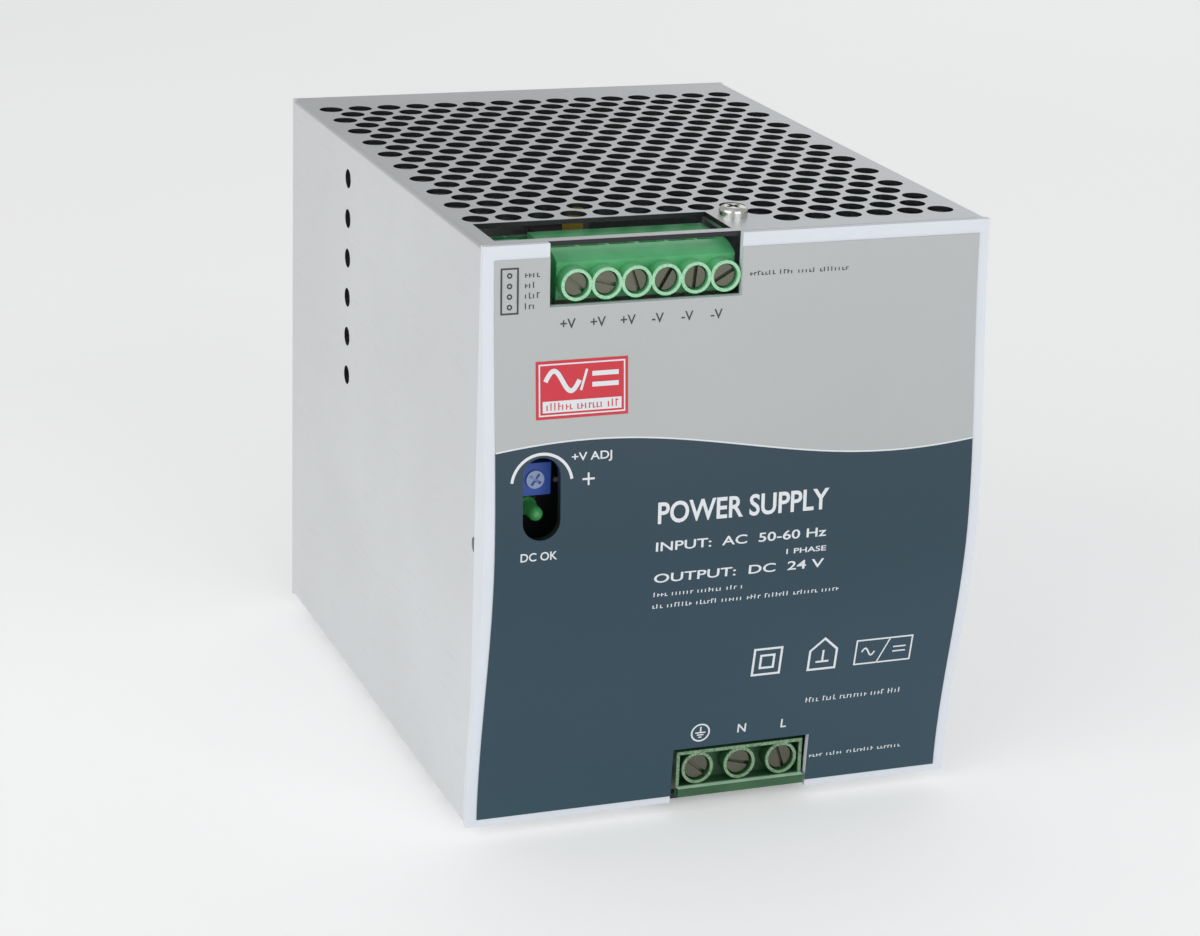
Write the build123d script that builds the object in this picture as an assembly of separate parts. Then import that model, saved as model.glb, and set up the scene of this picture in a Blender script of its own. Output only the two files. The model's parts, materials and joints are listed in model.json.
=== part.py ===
"""DIN rail power supply: sheet-metal case, moulded front, screw terminals, boards and a sprung rail clip.

Row frame, millimetres: origin at the centre of the 35 mm rail's front face, +Y from the front of the
unit towards the rail, +Z up, +X to the right seen from the front.
Inside this file most places are given in case coordinates: x from the left side of the case,
d (depth) from the seam line behind the front bezel, and h (height) from the underside.
"""
from build123d import *
import math
import os

# ---------------------------------------------------------------- driving dimensions
# Case
CASE_WIDTH = 110.0
CASE_HEIGHT = 125.2
CASE_DEPTH = 150.0          # front-most line of the bezel to the back panel
SHEET = 1.0                 # aluminium sheet
RAIL_STANDOFF = 8.0         # back panel to the rail's front face
COVER_FOLD = 2.2            # width of the side sheets' folds along the top and bottom
REAR_FLANGE = 9.0           # left cover's inner flange that the back panel is screwed to
BEND_RADIUS = 1.0

# Front bezel: an S-shaped front in side view
BEZEL_WALL = 1.5
BULGE = 5.6                 # how far the middle stands out in front of the case edge
BULGE_HEIGHT = 62.0         # height of the front-most line
BEZEL_TOP = -1.0            # depth of the bezel's face at its top edge
BEZEL_BOTTOM = 2.0          # and at its bottom edge
SEAM = 0.6                  # depth of the bezel's rear edge in the upper part
SEAM_SETBACK = 3.8          # and at the bottom, where the face lies further back
SEAM_STRAIGHT_TO = 30.0
SEAM_SETBACK_FROM = 8.0
PRY_NOTCH_RADIUS = 1.6
PRY_NOTCH_HEIGHT = 63.2
CLIP_HEIGHTS = (18.0, 98.0)
CLIP_SIZE = (1.3, 9.0, 7.0)  # thickness, depth behind the seam, height
CLIP_GAP = 0.1

# Front film
FILM = 0.25
FILM_SIDE_MARGIN = 2.3
FILM_TOP_MARGIN = 2.9
FILM_BOTTOM_MARGIN = 1.6
WAVE_HEIGHT = 81.6          # mean height of the boundary between the two colours
WAVE_SWING = 3.7
WAVE_CREST = 22.0           # x of the crest
WAVE_LENGTH = 136.0

# Perforation of the top and bottom sheets
HOLE_DIAMETER = 5.5
HOLE_PITCH = 7.0
FIRST_HOLE_X = 5.5
FIRST_ROW_DEPTH = 9.0
REAR_BORDER = 4.6
HOLE_MARGIN = 0.9           # least web between a hole and a cut-out or screw head
EDGE_WEB = 0.7
SIDE_HOLE_DIAMETER = 4.3
SIDE_HOLE_PITCH = 9.15
SIDE_HOLE_COUNT = 6
SIDE_HOLE_DEPTH = 95.8
SIDE_HOLE_TOP = 8.4         # from the top of the case to the first hole

# Wire windows in the top and bottom sheets, behind a narrow front strip
WINDOW_STRIP = 2.5
WINDOW_REAR = 17.2

# Output terminal: six rising-cage clamps
OUT_POLES = 6
OUT_PITCH = 6.35
OUT_FIRST_X = 19.6
OUT_AXIS_DROP = 8.8         # screw axis below the top of the case
OUT_RING_DEPTH = -1.0
OUT_NOTCH_SIDES = (2.625, 0.275)     # the bezel's notch beyond the block's left and right ends
OUT_NOTCH_DROP = 12.8
OUT_WINDOW_INSET = 0.725    # the wire window's right end inside the block's
OUT_THREAD = 3.0
OUT_THREAD_PITCH = 0.5

# Input terminal: three larger clamps, upside down at the bottom
IN_POLES = 3
IN_PITCH = 9.7
IN_FIRST_X = 52.1
IN_AXIS_HEIGHT = 6.9
IN_RING_DEPTH = 3.0
IN_NOTCH_SIDES = (1.65, 0.65)
IN_NOTCH_TOP = 12.6
IN_WINDOW_SIDES = (3.25, 2.65)
IN_THREAD = 3.5
IN_THREAD_PITCH = 0.6
IN_FRAME = 0.7              # thin wall round the front of the rings
LEDGE_GAP = 0.15            # ledge to the bottom sheet
IN_LEDGE = (1.5, 1.9)       # how far the ledge under the rings stands out, and its thickness

# What every clamp shares
HEAD_SHARE = 0.7            # screw head radius: this share of the thread, and a rim
HEAD_RIM = 0.2
RING_WALL = 0.65
HEAD_GAP = 0.3              # round the screw head
THREAD_GAP = 0.05           # running fit of the thread in the wall and in the cage
HEAD_RECESS = 0.9
HEAD_THICKNESS = 1.8
SEAT_WALL = 1.0
CAGE_TRAVEL = 2.8
CAGE_WALL = 0.6
CAGE_FRONT = 1.4
CAGE_MARGIN = 0.8           # cage above and below the thread
CAGE_GAP = 0.3              # cage to the pocket it slides in
CAGE_STOP_GAP = 0.1         # cage to the seat wall when fully closed
CAGE_BACK = 1.0             # rear wall, which presses the wire
POLE_WALL = 0.84            # plastic between two pockets
BAR_GAP = 0.25              # contact bar to the cage's side walls
CONTACT_FOOT = (0.4, 1.2)   # foot of a contact above the housing's far side, and its thickness
CONTACT_BAR = 1.0
WIRE_GAP = 4.2              # open clamp
SLOT_WIDTH = 0.8
SLOT_DEPTH = 0.9
TERMINAL_DEPTH = 21.6       # ring face to the board
TERMINAL_LIP = 1.2          # plastic over the cage pocket, screw side
OUT_WIRE_SIDE = 5.6         # terminal's wire face from the screw axis
OUT_LOW = 8.0               # terminal's far side from the screw axis
IN_WIRE_SIDE = 5.0
IN_LOW = 8.0
SCREW_TURNS = (40, 15, 70, 120, 95, 150)  # slot angles as tightened

# Adjuster and lamp, seen through a capsule-shaped opening
CAPSULE_X = 12.0
CAPSULE_WIDTH = 8.0
CAPSULE_HEIGHTS = (65.2, 82.3)
TRIMMER_X = 12.3
TRIMMER_HEIGHT = 76.3
TRIMMER_SIZE = 6.8
TRIMMER_FACE = 0.0
TRIMMER_DEPTH = 4.9
ROTOR_DIAMETER = 3.8
ROTOR_GAP = 0.05
ROTOR_PROUD = 0.4
ROTOR_SEAT = 1.4
LED_HEIGHT = 69.3
LED_DIAMETER = 3.0
LED_TIP = -2.4
LED_FLANGE = (3.8, 1.0)
INDICATOR_BOARD = (16.0, 27.0)

# Signal header beside the output terminal, mouth upwards
SIGNAL_X = (4.6, 12.6)
SIGNAL_WINDOW_GAP = 1.0     # between the header and the left end of the window above it
SIGNAL_DEPTHS = (3.6, 16.0)
SIGNAL_TOP_DROP = 3.2
SIGNAL_HEIGHT = 11.0
SIGNAL_WALL = 1.0
SIGNAL_FLOOR = 1.6
SIGNAL_PINS = 4
SIGNAL_PITCH = 2.5
PIN = 0.7

# Boards
BOARD = 1.6
STANDOFF = 6.0
STANDOFF_DIAMETER = 5.5
BOARD_EDGE = 4.0            # boards to the case at top and bottom
MAIN_FRONT = 25.0           # depth of the main board's front edge
MAIN_BACK_GAP = 3.0
FRONT_BOARD_X = (2.6, 98.0)
STANDOFF_INSET = 7.0
INSULATION = 0.4
INSULATION_HOLE_GAP = 0.4

# Screws with pan heads
M3 = 3.0
PAN_HEAD = 6.0
PAN_HEIGHT = 2.2
CLEARANCE_HOLE = 3.4
TOP_SCREW_GAP = 3.475       # from the output block's right end to the screw's axis
TOP_SCREW_DEPTH = 12.3
BOTTOM_SCREW_GAP = 5.0      # from the bottom window's right end to the screw's axis
REAR_SCREW_HEIGHTS = (14.0, 14.0)   # from the bottom and from the top of the case

# Rail clip
CLIP_SHEET = 1.5
CLIP_WIDTH = 44.0
CLIP_ABOVE_HOOKS = 1.7      # bridge above the hooks
CLIP_BOTTOM = -44.0
CLIP_FOOT = 10.0
CLIP_SCREWS_Z = (10.0, -30.0)
RAIL_HEIGHT = 35.0
RAIL_FLANGE_GAP = 1.4       # room behind the hooks for the rail's 1 mm flange
RAIL_EDGE_GAP = 0.3
HOOK_REACH = 3.0            # how far a hook reaches over the flange
HOOK_X = (7.0, 17.0)
HOOK_SLIT = 0.5             # cut beside a hook where it is lanced out of the bridge
SLIDER_GAP = 0.3
SLIDER_BACK = 0.6           # gap between the slider and the bridge
SLIDER_TOP = 8.5
SLIDER_BOTTOM = -40.0
SLIDER_LIP = 18.0
SLIDER_TRAVEL = 5.0
STOP_GAP = 0.1
TAB_WIDTH = 16.0
TAB_END = -56.5
TAB_SLOT = (8.0, 3.6)
SPRING_X = 9.0
SPRING_DIAMETER = 4.2
SPRING_BORE = 2.6
SPRING_FOOT = -9.0          # fixed end, on the lanced stop
SPRING_HEAD = 5.5           # moving end, in the slider's window
SPRING_STOP = 1.2
SPRING_STOP_WIDTH = 4.6
SPRING_WINDOW_GAP = 0.4

# Angle tabs behind the top and bottom sheets
TAB_SHEET = 1.2
TAB_SIDE = (3.4, 5.0)       # from the screw's axis towards the left and towards the right
TAB_LEG = 16.0

# Parts on the main board. Depths run from its front edge or its rear edge, heights from its bottom
# edge or its top edge, so that each part keeps to its own corner of the board.
TRANSFORMER = (65.5, 33.0)      # depth from the front edge, drop from the top edge
CORE_SIZE = (48.0, 42.0, 46.0)  # along the board, up the case, above the board
CORE_LEG = 12.0
CORE_LIFT = 6.0
WINDING_OVERHANG = 7.0
WINDING_GAP = 0.3
# Ring chokes: depth, height, outer radius, inner radius, thickness
CHOKES = (
    (20.0, 22.0, 14.0, 7.5, 12.0),
    (64.0, 24.0, 18.0, 9.5, 14.0),
    (18.0, 52.0, 10.0, 5.5, 9.0),
)
CHOKE_LIFT = 3.0
WIRE_LAYER = 1.8
WINDING_ARC = 130.0
# Electrolytic cans: depth and drop of the first, count and pitch along and down, radius, length
BULK_CANS = (13.0, 13.0, 1, 3, 24.0, 11.0, 45.0)     # depth from the rear edge
OUTPUT_CANS = (9.5, 10.0, 2, 3, 12.4, 5.8, 25.0)     # depth from the front edge
CAN_GROOVE = (0.5, 1.2, 1.8)    # depth, width and height above the board
CAN_RIM = 0.8
# Moulded box capacitors: depth and height spans from the front and bottom edges, height above the board
BOX_CAPS = (((38.0, 43.0), (4.0, 30.0), 18.0), ((48.0, 54.0), (46.0, 64.0), 16.0))
RELAY = ((32.0, 44.0), (36.0, 56.0), 17.0)
FUSE = (36.0, 46.0, 3.0, 20.0)  # depth from the rear edge, height, radius, length
FUSE_CAP = 5.0
# Heatsinks: depth of the plate, lower and upper edge, height above the board
PRIMARY_SINK = (26.0, 6.0, 42.0, 60.0)      # depth from the rear edge, heights from the bottom edge
SECONDARY_SINK = (28.0, 4.0, 46.0, 58.0)    # depth from the front edge, drops from the top edge
SINK_PLATE = 3.0
SINK_FOOT = 7.0
PACKAGE = (16.0, 5.0, 20.0)     # width up the case, thickness, height above the board
PACKAGE_LIFT = 8.0
PACKAGE_LEADS = (5.0, 1.2, 0.8)  # spacing, width and thickness
BUSBAR = (1.5, 8.0)             # thickness and width
BUSBAR_DROPS = (6.0, 22.0)      # drops of the two busbars below the top edge of the boards

# ---------------------------------------------------------------- derived places
BACK_Y = -RAIL_STANDOFF                       # outer face of the back panel
SEAM_ZERO_Y = BACK_Y - (CASE_DEPTH - BULGE)   # depth zero
BACK_DEPTH = BACK_Y - SEAM_ZERO_Y
RIGHT_INNER = CASE_WIDTH - SHEET
BOARD_FACE = RIGHT_INNER - STANDOFF - BOARD   # x of the main board's component side
MAIN_BACK = BACK_DEPTH - SHEET - MAIN_BACK_GAP
BOARD_TOP = CASE_HEIGHT - BOARD_EDGE
FRONT_BOARD_DEPTH = OUT_RING_DEPTH + TERMINAL_DEPTH
OUT_BLOCK_X = (OUT_FIRST_X - OUT_PITCH / 2, OUT_FIRST_X + (OUT_POLES - 0.5) * OUT_PITCH)
IN_BLOCK_X = (IN_FIRST_X - IN_PITCH / 2, IN_FIRST_X + (IN_POLES - 0.5) * IN_PITCH)
OUT_NOTCH_X = (OUT_BLOCK_X[0] - OUT_NOTCH_SIDES[0], OUT_BLOCK_X[1] + OUT_NOTCH_SIDES[1])
IN_NOTCH_X = (IN_BLOCK_X[0] - IN_NOTCH_SIDES[0], IN_BLOCK_X[1] + IN_NOTCH_SIDES[1])
OUT_WINDOW_X = (SIGNAL_X[0] - SIGNAL_WINDOW_GAP, OUT_BLOCK_X[1] - OUT_WINDOW_INSET)
IN_WINDOW_X = (IN_BLOCK_X[0] - IN_WINDOW_SIDES[0], IN_BLOCK_X[1] + IN_WINDOW_SIDES[1])
TOP_SCREW_X = OUT_BLOCK_X[1] + TOP_SCREW_GAP
BOTTOM_SCREW_X = IN_WINDOW_X[1] + BOTTOM_SCREW_GAP


def block(x, d, h):
    """A box between pairs of case coordinates."""
    size = [abs(b - a) for a, b in (x, d, h)]
    middle = [(a + b) / 2 for a, b in (x, d, h)]
    return spot(*middle) * Box(*size)


def spot(x, d, h):
    """The location of a point in case coordinates."""
    return Pos(x - CASE_WIDTH / 2, d + SEAM_ZERO_Y, h - CASE_HEIGHT / 2)


def rod(x, d, h, radius):
    """A round bar along X, Y or Z: the one coordinate given as a pair is its length."""
    spans = [isinstance(c, tuple) for c in (x, d, h)]
    turn = (Rot(0, 90, 0), Rot(90, 0, 0), Rot(0, 0, 0))[spans.index(True)]
    low, high = (x, d, h)[spans.index(True)]
    middle = [(c[0] + c[1]) / 2 if isinstance(c, tuple) else c for c in (x, d, h)]
    return spot(*middle) * turn * Cylinder(radius, abs(high - low))


def write(name, shape):
    """One STEP file per node, holding one solid or a group of separate ones."""
    pieces = shape if isinstance(shape, list) else [shape]
    solids = [solid for piece in pieces for solid in piece.solids()]
    kept = solids[0] if len(solids) == 1 else Compound(children=solids)
    kept.label = name
    export_step(kept, os.path.join("parts", name + ".step"))


# ---------------------------------------------------------------- front curve
def front_depth(height):
    """Depth of the bezel's face: two smooth steps that meet upright at the bulge."""
    if height >= BULGE_HEIGHT:
        start, end = BEZEL_TOP, -BULGE
        share = (CASE_HEIGHT - height) / (CASE_HEIGHT - BULGE_HEIGHT)
    else:
        start, end = -BULGE, BEZEL_BOTTOM
        share = (BULGE_HEIGHT - height) / BULGE_HEIGHT
    return start + (end - start) * share * share * (3 - 2 * share)


def front_edges(offset):
    """The bezel's side curve from top to bottom, moved back by offset, in the plane x = 0."""
    edges = []
    for (d0, h0), (d1, h1) in (
        ((BEZEL_TOP, CASE_HEIGHT), (-BULGE, BULGE_HEIGHT)),
        ((-BULGE, BULGE_HEIGHT), (BEZEL_BOTTOM, 0.0)),
    ):
        third = (h1 - h0) / 3
        points = ((d0, h0), (d0, h0 + third), (d1, h1 - third), (d1, h1))
        edges.append(Edge.make_bezier(*[Vector(0, d + offset, h) for d, h in points]))
    return edges


def behind_front(offset, x, rear):
    """The solid between the bezel's curve, moved back by offset, and a rear outline, over a span of x."""
    corners = [Vector(0, BEZEL_BOTTOM + offset, 0), *[Vector(0, d, h) for d, h in rear]]
    corners.append(Vector(0, BEZEL_TOP + offset, CASE_HEIGHT))
    sides = [Edge.make_line(a, b) for a, b in zip(corners, corners[1:])]
    face = Face(Wire(front_edges(offset) + sides))
    solid = Solid.extrude(face, Vector(x[1] - x[0], 0, 0))
    return spot(x[0], 0, 0) * solid


SEAM_LINE = (
    (SEAM_SETBACK, 0.0),
    (SEAM_SETBACK, SEAM_SETBACK_FROM),
    (SEAM, SEAM_STRAIGHT_TO),
    (SEAM, CASE_HEIGHT),
)


def notches():
    """The openings of the front: output notch, input notch and the adjuster's capsule."""
    deep = (-2 * BULGE, 3 * SEAM_SETBACK)
    over = 5.0
    output = block(OUT_NOTCH_X, deep, (CASE_HEIGHT - OUT_NOTCH_DROP, CASE_HEIGHT + over))
    mains = block(IN_NOTCH_X, deep, (-over, IN_NOTCH_TOP))
    radius = CAPSULE_WIDTH / 2
    low, high = CAPSULE_HEIGHTS
    sides = (CAPSULE_X - radius, CAPSULE_X + radius)
    capsule = block(sides, deep, (low + radius, high - radius))
    capsule += rod(CAPSULE_X, deep, low + radius, radius)
    capsule += rod(CAPSULE_X, deep, high - radius, radius)
    return output, mains, capsule


def front_bezel():
    shell = behind_front(0.0, (0.0, CASE_WIDTH), SEAM_LINE)
    rear = ((3 * SEAM_SETBACK, 0.0), (3 * SEAM_SETBACK, CASE_HEIGHT))
    shell -= behind_front(BEZEL_WALL, (BEZEL_WALL, CASE_WIDTH - BEZEL_WALL), rear)
    thick, reach, tall = CLIP_SIZE
    for height in CLIP_HEIGHTS:
        for side in (0, 1):
            near = SHEET + CLIP_GAP
            x = (near, near + thick) if side == 0 else (CASE_WIDTH - near - thick, CASE_WIDTH - near)
            start = front_depth(height) + BEZEL_WALL / 2
            shell += block(x, (start, SEAM + reach), (height, height + tall))
    for notch in notches():
        shell -= notch
    return shell


def wave_region(above):
    """Everything above or below the wavy boundary of the front film."""
    points = []
    steps = 24
    for i in range(steps + 1):
        x = CASE_WIDTH * i / steps
        rise = WAVE_SWING * math.cos(2 * math.pi * (x - WAVE_CREST) / WAVE_LENGTH)
        points.append(Vector(x, 0, WAVE_HEIGHT + rise))
    far = 2 * CASE_HEIGHT if above else -CASE_HEIGHT
    curve = Edge.make_spline(points)
    corners = [points[-1], Vector(CASE_WIDTH, 0, far), Vector(0, 0, far), points[0]]
    sides = [Edge.make_line(a, b) for a, b in zip(corners, corners[1:])]
    face = Face(Wire([curve, *sides]))
    return spot(0, -4 * BULGE, 0) * Solid.extrude(face, Vector(0, 8 * BULGE, 0))


def film():
    """The printed film on the bezel's face, cut out at the openings."""
    side = FILM_SIDE_MARGIN
    rear = ((3 * SEAM_SETBACK, 0.0), (3 * SEAM_SETBACK, CASE_HEIGHT))
    sheet = behind_front(-FILM, (side, CASE_WIDTH - side), rear)
    sheet -= behind_front(0.0, (0.0, CASE_WIDTH), rear)
    tall = (FILM_BOTTOM_MARGIN, CASE_HEIGHT - FILM_TOP_MARGIN)
    sheet &= block((0, CASE_WIDTH), (-4 * BULGE, 4 * BULGE), tall)
    for notch in notches():
        sheet -= notch
    return sheet


# ---------------------------------------------------------------- sheet-metal case
def panel_profile(x):
    """A side sheet: full height, its front edge following the bezel's seam."""
    points = [*SEAM_LINE, (BACK_DEPTH, CASE_HEIGHT), (BACK_DEPTH, 0.0)]
    ring = [Vector(0, d, h) for d, h in points]
    face = Face(Wire.make_polygon(ring, close=True))
    return spot(x[0], 0, 0) * Solid.extrude(face, Vector(x[1] - x[0], 0, 0))


def side_with_folds(x, inward):
    """A side sheet with its narrow folds along the top and bottom, the bends rounded outside."""
    outer, inner = x
    plate = panel_profile((min(x), max(x)))
    fold = (outer, outer + inward * COVER_FOLD)
    span = (min(fold), max(fold))
    plate += block(span, (SEAM, BACK_DEPTH), (CASE_HEIGHT - SHEET, CASE_HEIGHT))
    plate += block(span, (SEAM_SETBACK, BACK_DEPTH), (0.0, SHEET))
    return plate


def round_bends(shape, x):
    """Rounds the long outside corners at the top and bottom of the side at x."""
    corner = ShapeList()
    for edge in shape.edges().filter_by(Axis.Y):
        middle = edge.center()
        at_side = abs(middle.X - (x - CASE_WIDTH / 2)) < 0.01
        at_rim = abs(abs(middle.Z) - CASE_HEIGHT / 2) < 0.01
        if at_side and at_rim and edge.length > CASE_DEPTH / 2:
            corner.append(edge)
    return fillet(corner, BEND_RADIUS)


def left_cover():
    cover = side_with_folds((0.0, SHEET), 1)
    cover = round_bends(cover, 0.0)
    rear = (BACK_DEPTH - 2 * SHEET, BACK_DEPTH - SHEET)
    cover += block((0.0, REAR_FLANGE), rear, (2 * SHEET, CASE_HEIGHT - 2 * SHEET))
    cover -= block((-1, 2 * COVER_FOLD), (BACK_DEPTH - SHEET, BACK_DEPTH + 1), (-1, CASE_HEIGHT + 1))
    for i in range(SIDE_HOLE_COUNT):
        height = CASE_HEIGHT - SIDE_HOLE_TOP - i * SIDE_HOLE_PITCH
        cover -= rod((-1, 2 * SHEET), SIDE_HOLE_DEPTH, height, SIDE_HOLE_DIAMETER / 2)
    cover -= rod((-1, 2 * SHEET), SEAM, PRY_NOTCH_HEIGHT, PRY_NOTCH_RADIUS)
    for height in rear_screw_heights():
        cover -= rod(REAR_FLANGE / 2, (BACK_DEPTH - 3 * SHEET, BACK_DEPTH), height, M3 / 2)
    return cover


def rear_screw_heights():
    low, high = REAR_SCREW_HEIGHTS
    return (low, CASE_HEIGHT - high)


def standoff_places():
    """Depth and height of the main board's four standoffs."""
    depths = (MAIN_FRONT + STANDOFF_INSET, MAIN_BACK - STANDOFF_INSET)
    heights = (BOARD_EDGE + STANDOFF_INSET, BOARD_TOP - STANDOFF_INSET)
    return [(d, h) for d in depths for h in heights]


def chassis():
    """Right side and back panel, bent from one sheet."""
    sheet = side_with_folds((CASE_WIDTH, CASE_WIDTH - SHEET), -1)
    sheet = round_bends(sheet, CASE_WIDTH)
    sheet += block((0.0, CASE_WIDTH), (BACK_DEPTH - SHEET, BACK_DEPTH), (0.0, CASE_HEIGHT))
    upright = ShapeList(
        e
        for e in sheet.edges().filter_by(Axis.Z)
        if abs(e.center().X - CASE_WIDTH / 2) < 0.01 and abs(e.center().Y - BACK_Y) < 0.01
    )
    sheet = fillet(upright, BEND_RADIUS)
    for depth, height in standoff_places():
        sheet -= rod((RIGHT_INNER - 1, CASE_WIDTH + 1), depth, height, CLEARANCE_HOLE / 2)
    for height in rear_screw_heights():
        sheet -= rod(REAR_FLANGE / 2, (BACK_DEPTH - 2, BACK_DEPTH + 1), height, CLEARANCE_HOLE / 2)
    for x, height in bracket_screw_places():
        sheet -= rod(x, (BACK_DEPTH - 2, BACK_DEPTH + 1), height, M3 / 2)
    return sheet


def bracket_screw_places():
    """x and height of the four screws that hold the rail bracket."""
    reach = CLIP_WIDTH / 2 + CLIP_FOOT / 2
    middle = CASE_HEIGHT / 2
    return [(CASE_WIDTH / 2 + s * reach, middle + z) for s in (-1, 1) for z in CLIP_SCREWS_Z]


def hole_centres(front, window, screw):
    """Centres of the staggered perforation, clear of the wire window, the screw and the borders."""
    radius = HOLE_DIAMETER / 2
    row_pitch = HOLE_PITCH * math.sin(math.radians(60))
    rows = int((BACK_DEPTH - SHEET - REAR_BORDER - radius - FIRST_ROW_DEPTH) / row_pitch) + 1
    per_row = int(CASE_WIDTH / HOLE_PITCH) + 1
    for row in range(rows):
        depth = FIRST_ROW_DEPTH + row * row_pitch
        for i in range(per_row):
            x = FIRST_HOLE_X + i * HOLE_PITCH + (row % 2) * HOLE_PITCH / 2
            if x + radius > CASE_WIDTH - COVER_FOLD - EDGE_WEB:
                continue
            if depth - radius < front + WINDOW_STRIP:
                continue
            dx = max(window[0] - x, x - window[1], 0)
            dd = max(depth - WINDOW_REAR, 0)
            if math.hypot(dx, dd) < radius + HOLE_MARGIN:
                continue
            if math.hypot(x - screw[0], depth - screw[1]) < radius + PAN_HEAD / 2 + HOLE_MARGIN:
                continue
            yield x, depth


def grille(height, front, window, screw):
    """A perforated sheet between the side folds, with the wire window behind its front strip."""
    x0, x1 = COVER_FOLD, CASE_WIDTH - COVER_FOLD
    d0, d1 = front, BACK_DEPTH - SHEET
    corners = [Vector(x, d, 0) for x, d in ((x0, d0), (x1, d0), (x1, d1), (x0, d1))]
    outline = Wire.make_polygon(corners, close=True)
    a, b = front + WINDOW_STRIP, WINDOW_REAR
    opening = [Vector(x, d, 0) for x, d in ((window[0], a), (window[1], a), (window[1], b), (window[0], b))]
    cuts = [Wire.make_polygon(opening, close=True)]
    cuts.append(Wire.make_circle(CLEARANCE_HOLE / 2, Plane(origin=(*screw, 0))))
    for x, d in hole_centres(front, window, screw):
        cuts.append(Wire.make_circle(HOLE_DIAMETER / 2, Plane(origin=(x, d, 0))))
    sheet = Solid.extrude(Face(outline, cuts), Vector(0, 0, SHEET))
    return spot(0, 0, height) * sheet


# ---------------------------------------------------------------- screws
def pan_screw(length, drive_depth=1.1):
    """Pan-head screw with a cross recess, its seat at the origin, the head towards +Z."""
    head = Cylinder(PAN_HEAD / 2, PAN_HEIGHT, align=(Align.CENTER, Align.CENTER, Align.MIN))
    head = fillet(head.edges().filter_by(GeomType.CIRCLE).sort_by(Axis.Z)[-1:], PAN_HEIGHT * 0.45)
    for turn in (0, 90):
        cross = Box(PAN_HEAD * 0.55, 0.9, 2 * drive_depth)
        head -= Pos(0, 0, PAN_HEIGHT) * Rot(0, 0, turn) * cross
    shank = Cylinder(M3 / 2, length, align=(Align.CENTER, Align.CENTER, Align.MAX))
    return head + shank


def case_screws():
    """Screws of the top and bottom sheets, of the left cover's flange and of the standoffs."""
    screws = [
        spot(TOP_SCREW_X, TOP_SCREW_DEPTH, CASE_HEIGHT) * Rot(0, 0, 20) * pan_screw(SHEET + TAB_SHEET),
        spot(BOTTOM_SCREW_X, TOP_SCREW_DEPTH, 0) * Rot(180, 0, 65) * pan_screw(SHEET + TAB_SHEET),
    ]
    for height in rear_screw_heights():
        screws.append(spot(REAR_FLANGE / 2, BACK_DEPTH, height) * Rot(-90, 0, 0) * pan_screw(3 * SHEET))
    for depth, height in standoff_places():
        screws.append(spot(CASE_WIDTH, depth, height) * Rot(0, 90, 0) * pan_screw(SHEET + STANDOFF - 1.0))
    return screws


def sheet_brackets():
    """Angle tabs on the front board that take the top and the bottom screw."""
    tabs = []
    rear = OUT_RING_DEPTH + TERMINAL_DEPTH
    for x, under, away in ((TOP_SCREW_X, CASE_HEIGHT - SHEET, -1), (BOTTOM_SCREW_X, SHEET, 1)):
        side = (x - TAB_SIDE[0], x + TAB_SIDE[1])
        flat = (under, under + away * TAB_SHEET)
        leg = (under, under + away * TAB_LEG)
        tab = block(side, (TOP_SCREW_DEPTH - 4, rear), (min(flat), max(flat)))
        tab += block(side, (rear - TAB_SHEET, rear), (min(leg), max(leg)))
        tab -= rod(x, TOP_SCREW_DEPTH, (min(flat) - 1, max(flat) + 1), M3 / 2)
        tabs.append(tab)
    return tabs


# ---------------------------------------------------------------- screw terminals
class Clamp:
    """Sizes of one rising-cage clamp; v runs back from the ring face, w towards the wires."""

    def __init__(self, poles, pitch, thread, lead, first_x, axis_height, ring_depth, up):
        self.poles, self.pitch, self.thread, self.lead = poles, pitch, thread, lead
        self.first_x, self.axis_height, self.ring_depth, self.up = first_x, axis_height, ring_depth, up
        self.board = FRONT_BOARD_DEPTH - ring_depth
        self.head = HEAD_SHARE * thread + HEAD_RIM
        self.bore = self.head + HEAD_GAP
        self.ring = self.bore + RING_WALL
        self.seat = HEAD_RECESS + HEAD_THICKNESS + HEAD_GAP
        self.pocket_front = self.seat + SEAT_WALL
        self.cage_front = self.pocket_front + CAGE_STOP_GAP + CAGE_TRAVEL
        self.bar_front = self.cage_front + CAGE_FRONT + CAGE_GAP
        self.bar_back = self.bar_front + CONTACT_BAR
        self.cage_rear = self.bar_back + WIRE_GAP
        self.cage_back = self.cage_rear + CAGE_BACK
        self.pocket_back = self.cage_back + CAGE_GAP
        self.cage_half = min(pitch / 2 - POLE_WALL / 2, thread) - CAGE_GAP
        self.cage_tall = thread / 2 + CAGE_MARGIN
        self.pocket_half = self.cage_half + CAGE_GAP
        self.pocket_tall = self.cage_tall + CAGE_GAP
        self.lip = self.pocket_tall + TERMINAL_LIP

    def centres(self):
        return [self.first_x + i * self.pitch for i in range(self.poles)]

    def heights(self, w0, w1):
        a = self.axis_height + self.up * w0
        b = self.axis_height + self.up * w1
        return (min(a, b), max(a, b))

    def depths(self, v0, v1):
        return (self.ring_depth + v0, self.ring_depth + v1)

    def part(self, x, v, w):
        return block(x, self.depths(*v), self.heights(*w))


OUT_AXIS_HEIGHT = CASE_HEIGHT - OUT_AXIS_DROP
OUTPUT = Clamp(
    OUT_POLES, OUT_PITCH, OUT_THREAD, OUT_THREAD_PITCH, OUT_FIRST_X, OUT_AXIS_HEIGHT, OUT_RING_DEPTH, 1
)
INPUT = Clamp(IN_POLES, IN_PITCH, IN_THREAD, IN_THREAD_PITCH, IN_FIRST_X, IN_AXIS_HEIGHT, IN_RING_DEPTH, -1)


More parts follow.
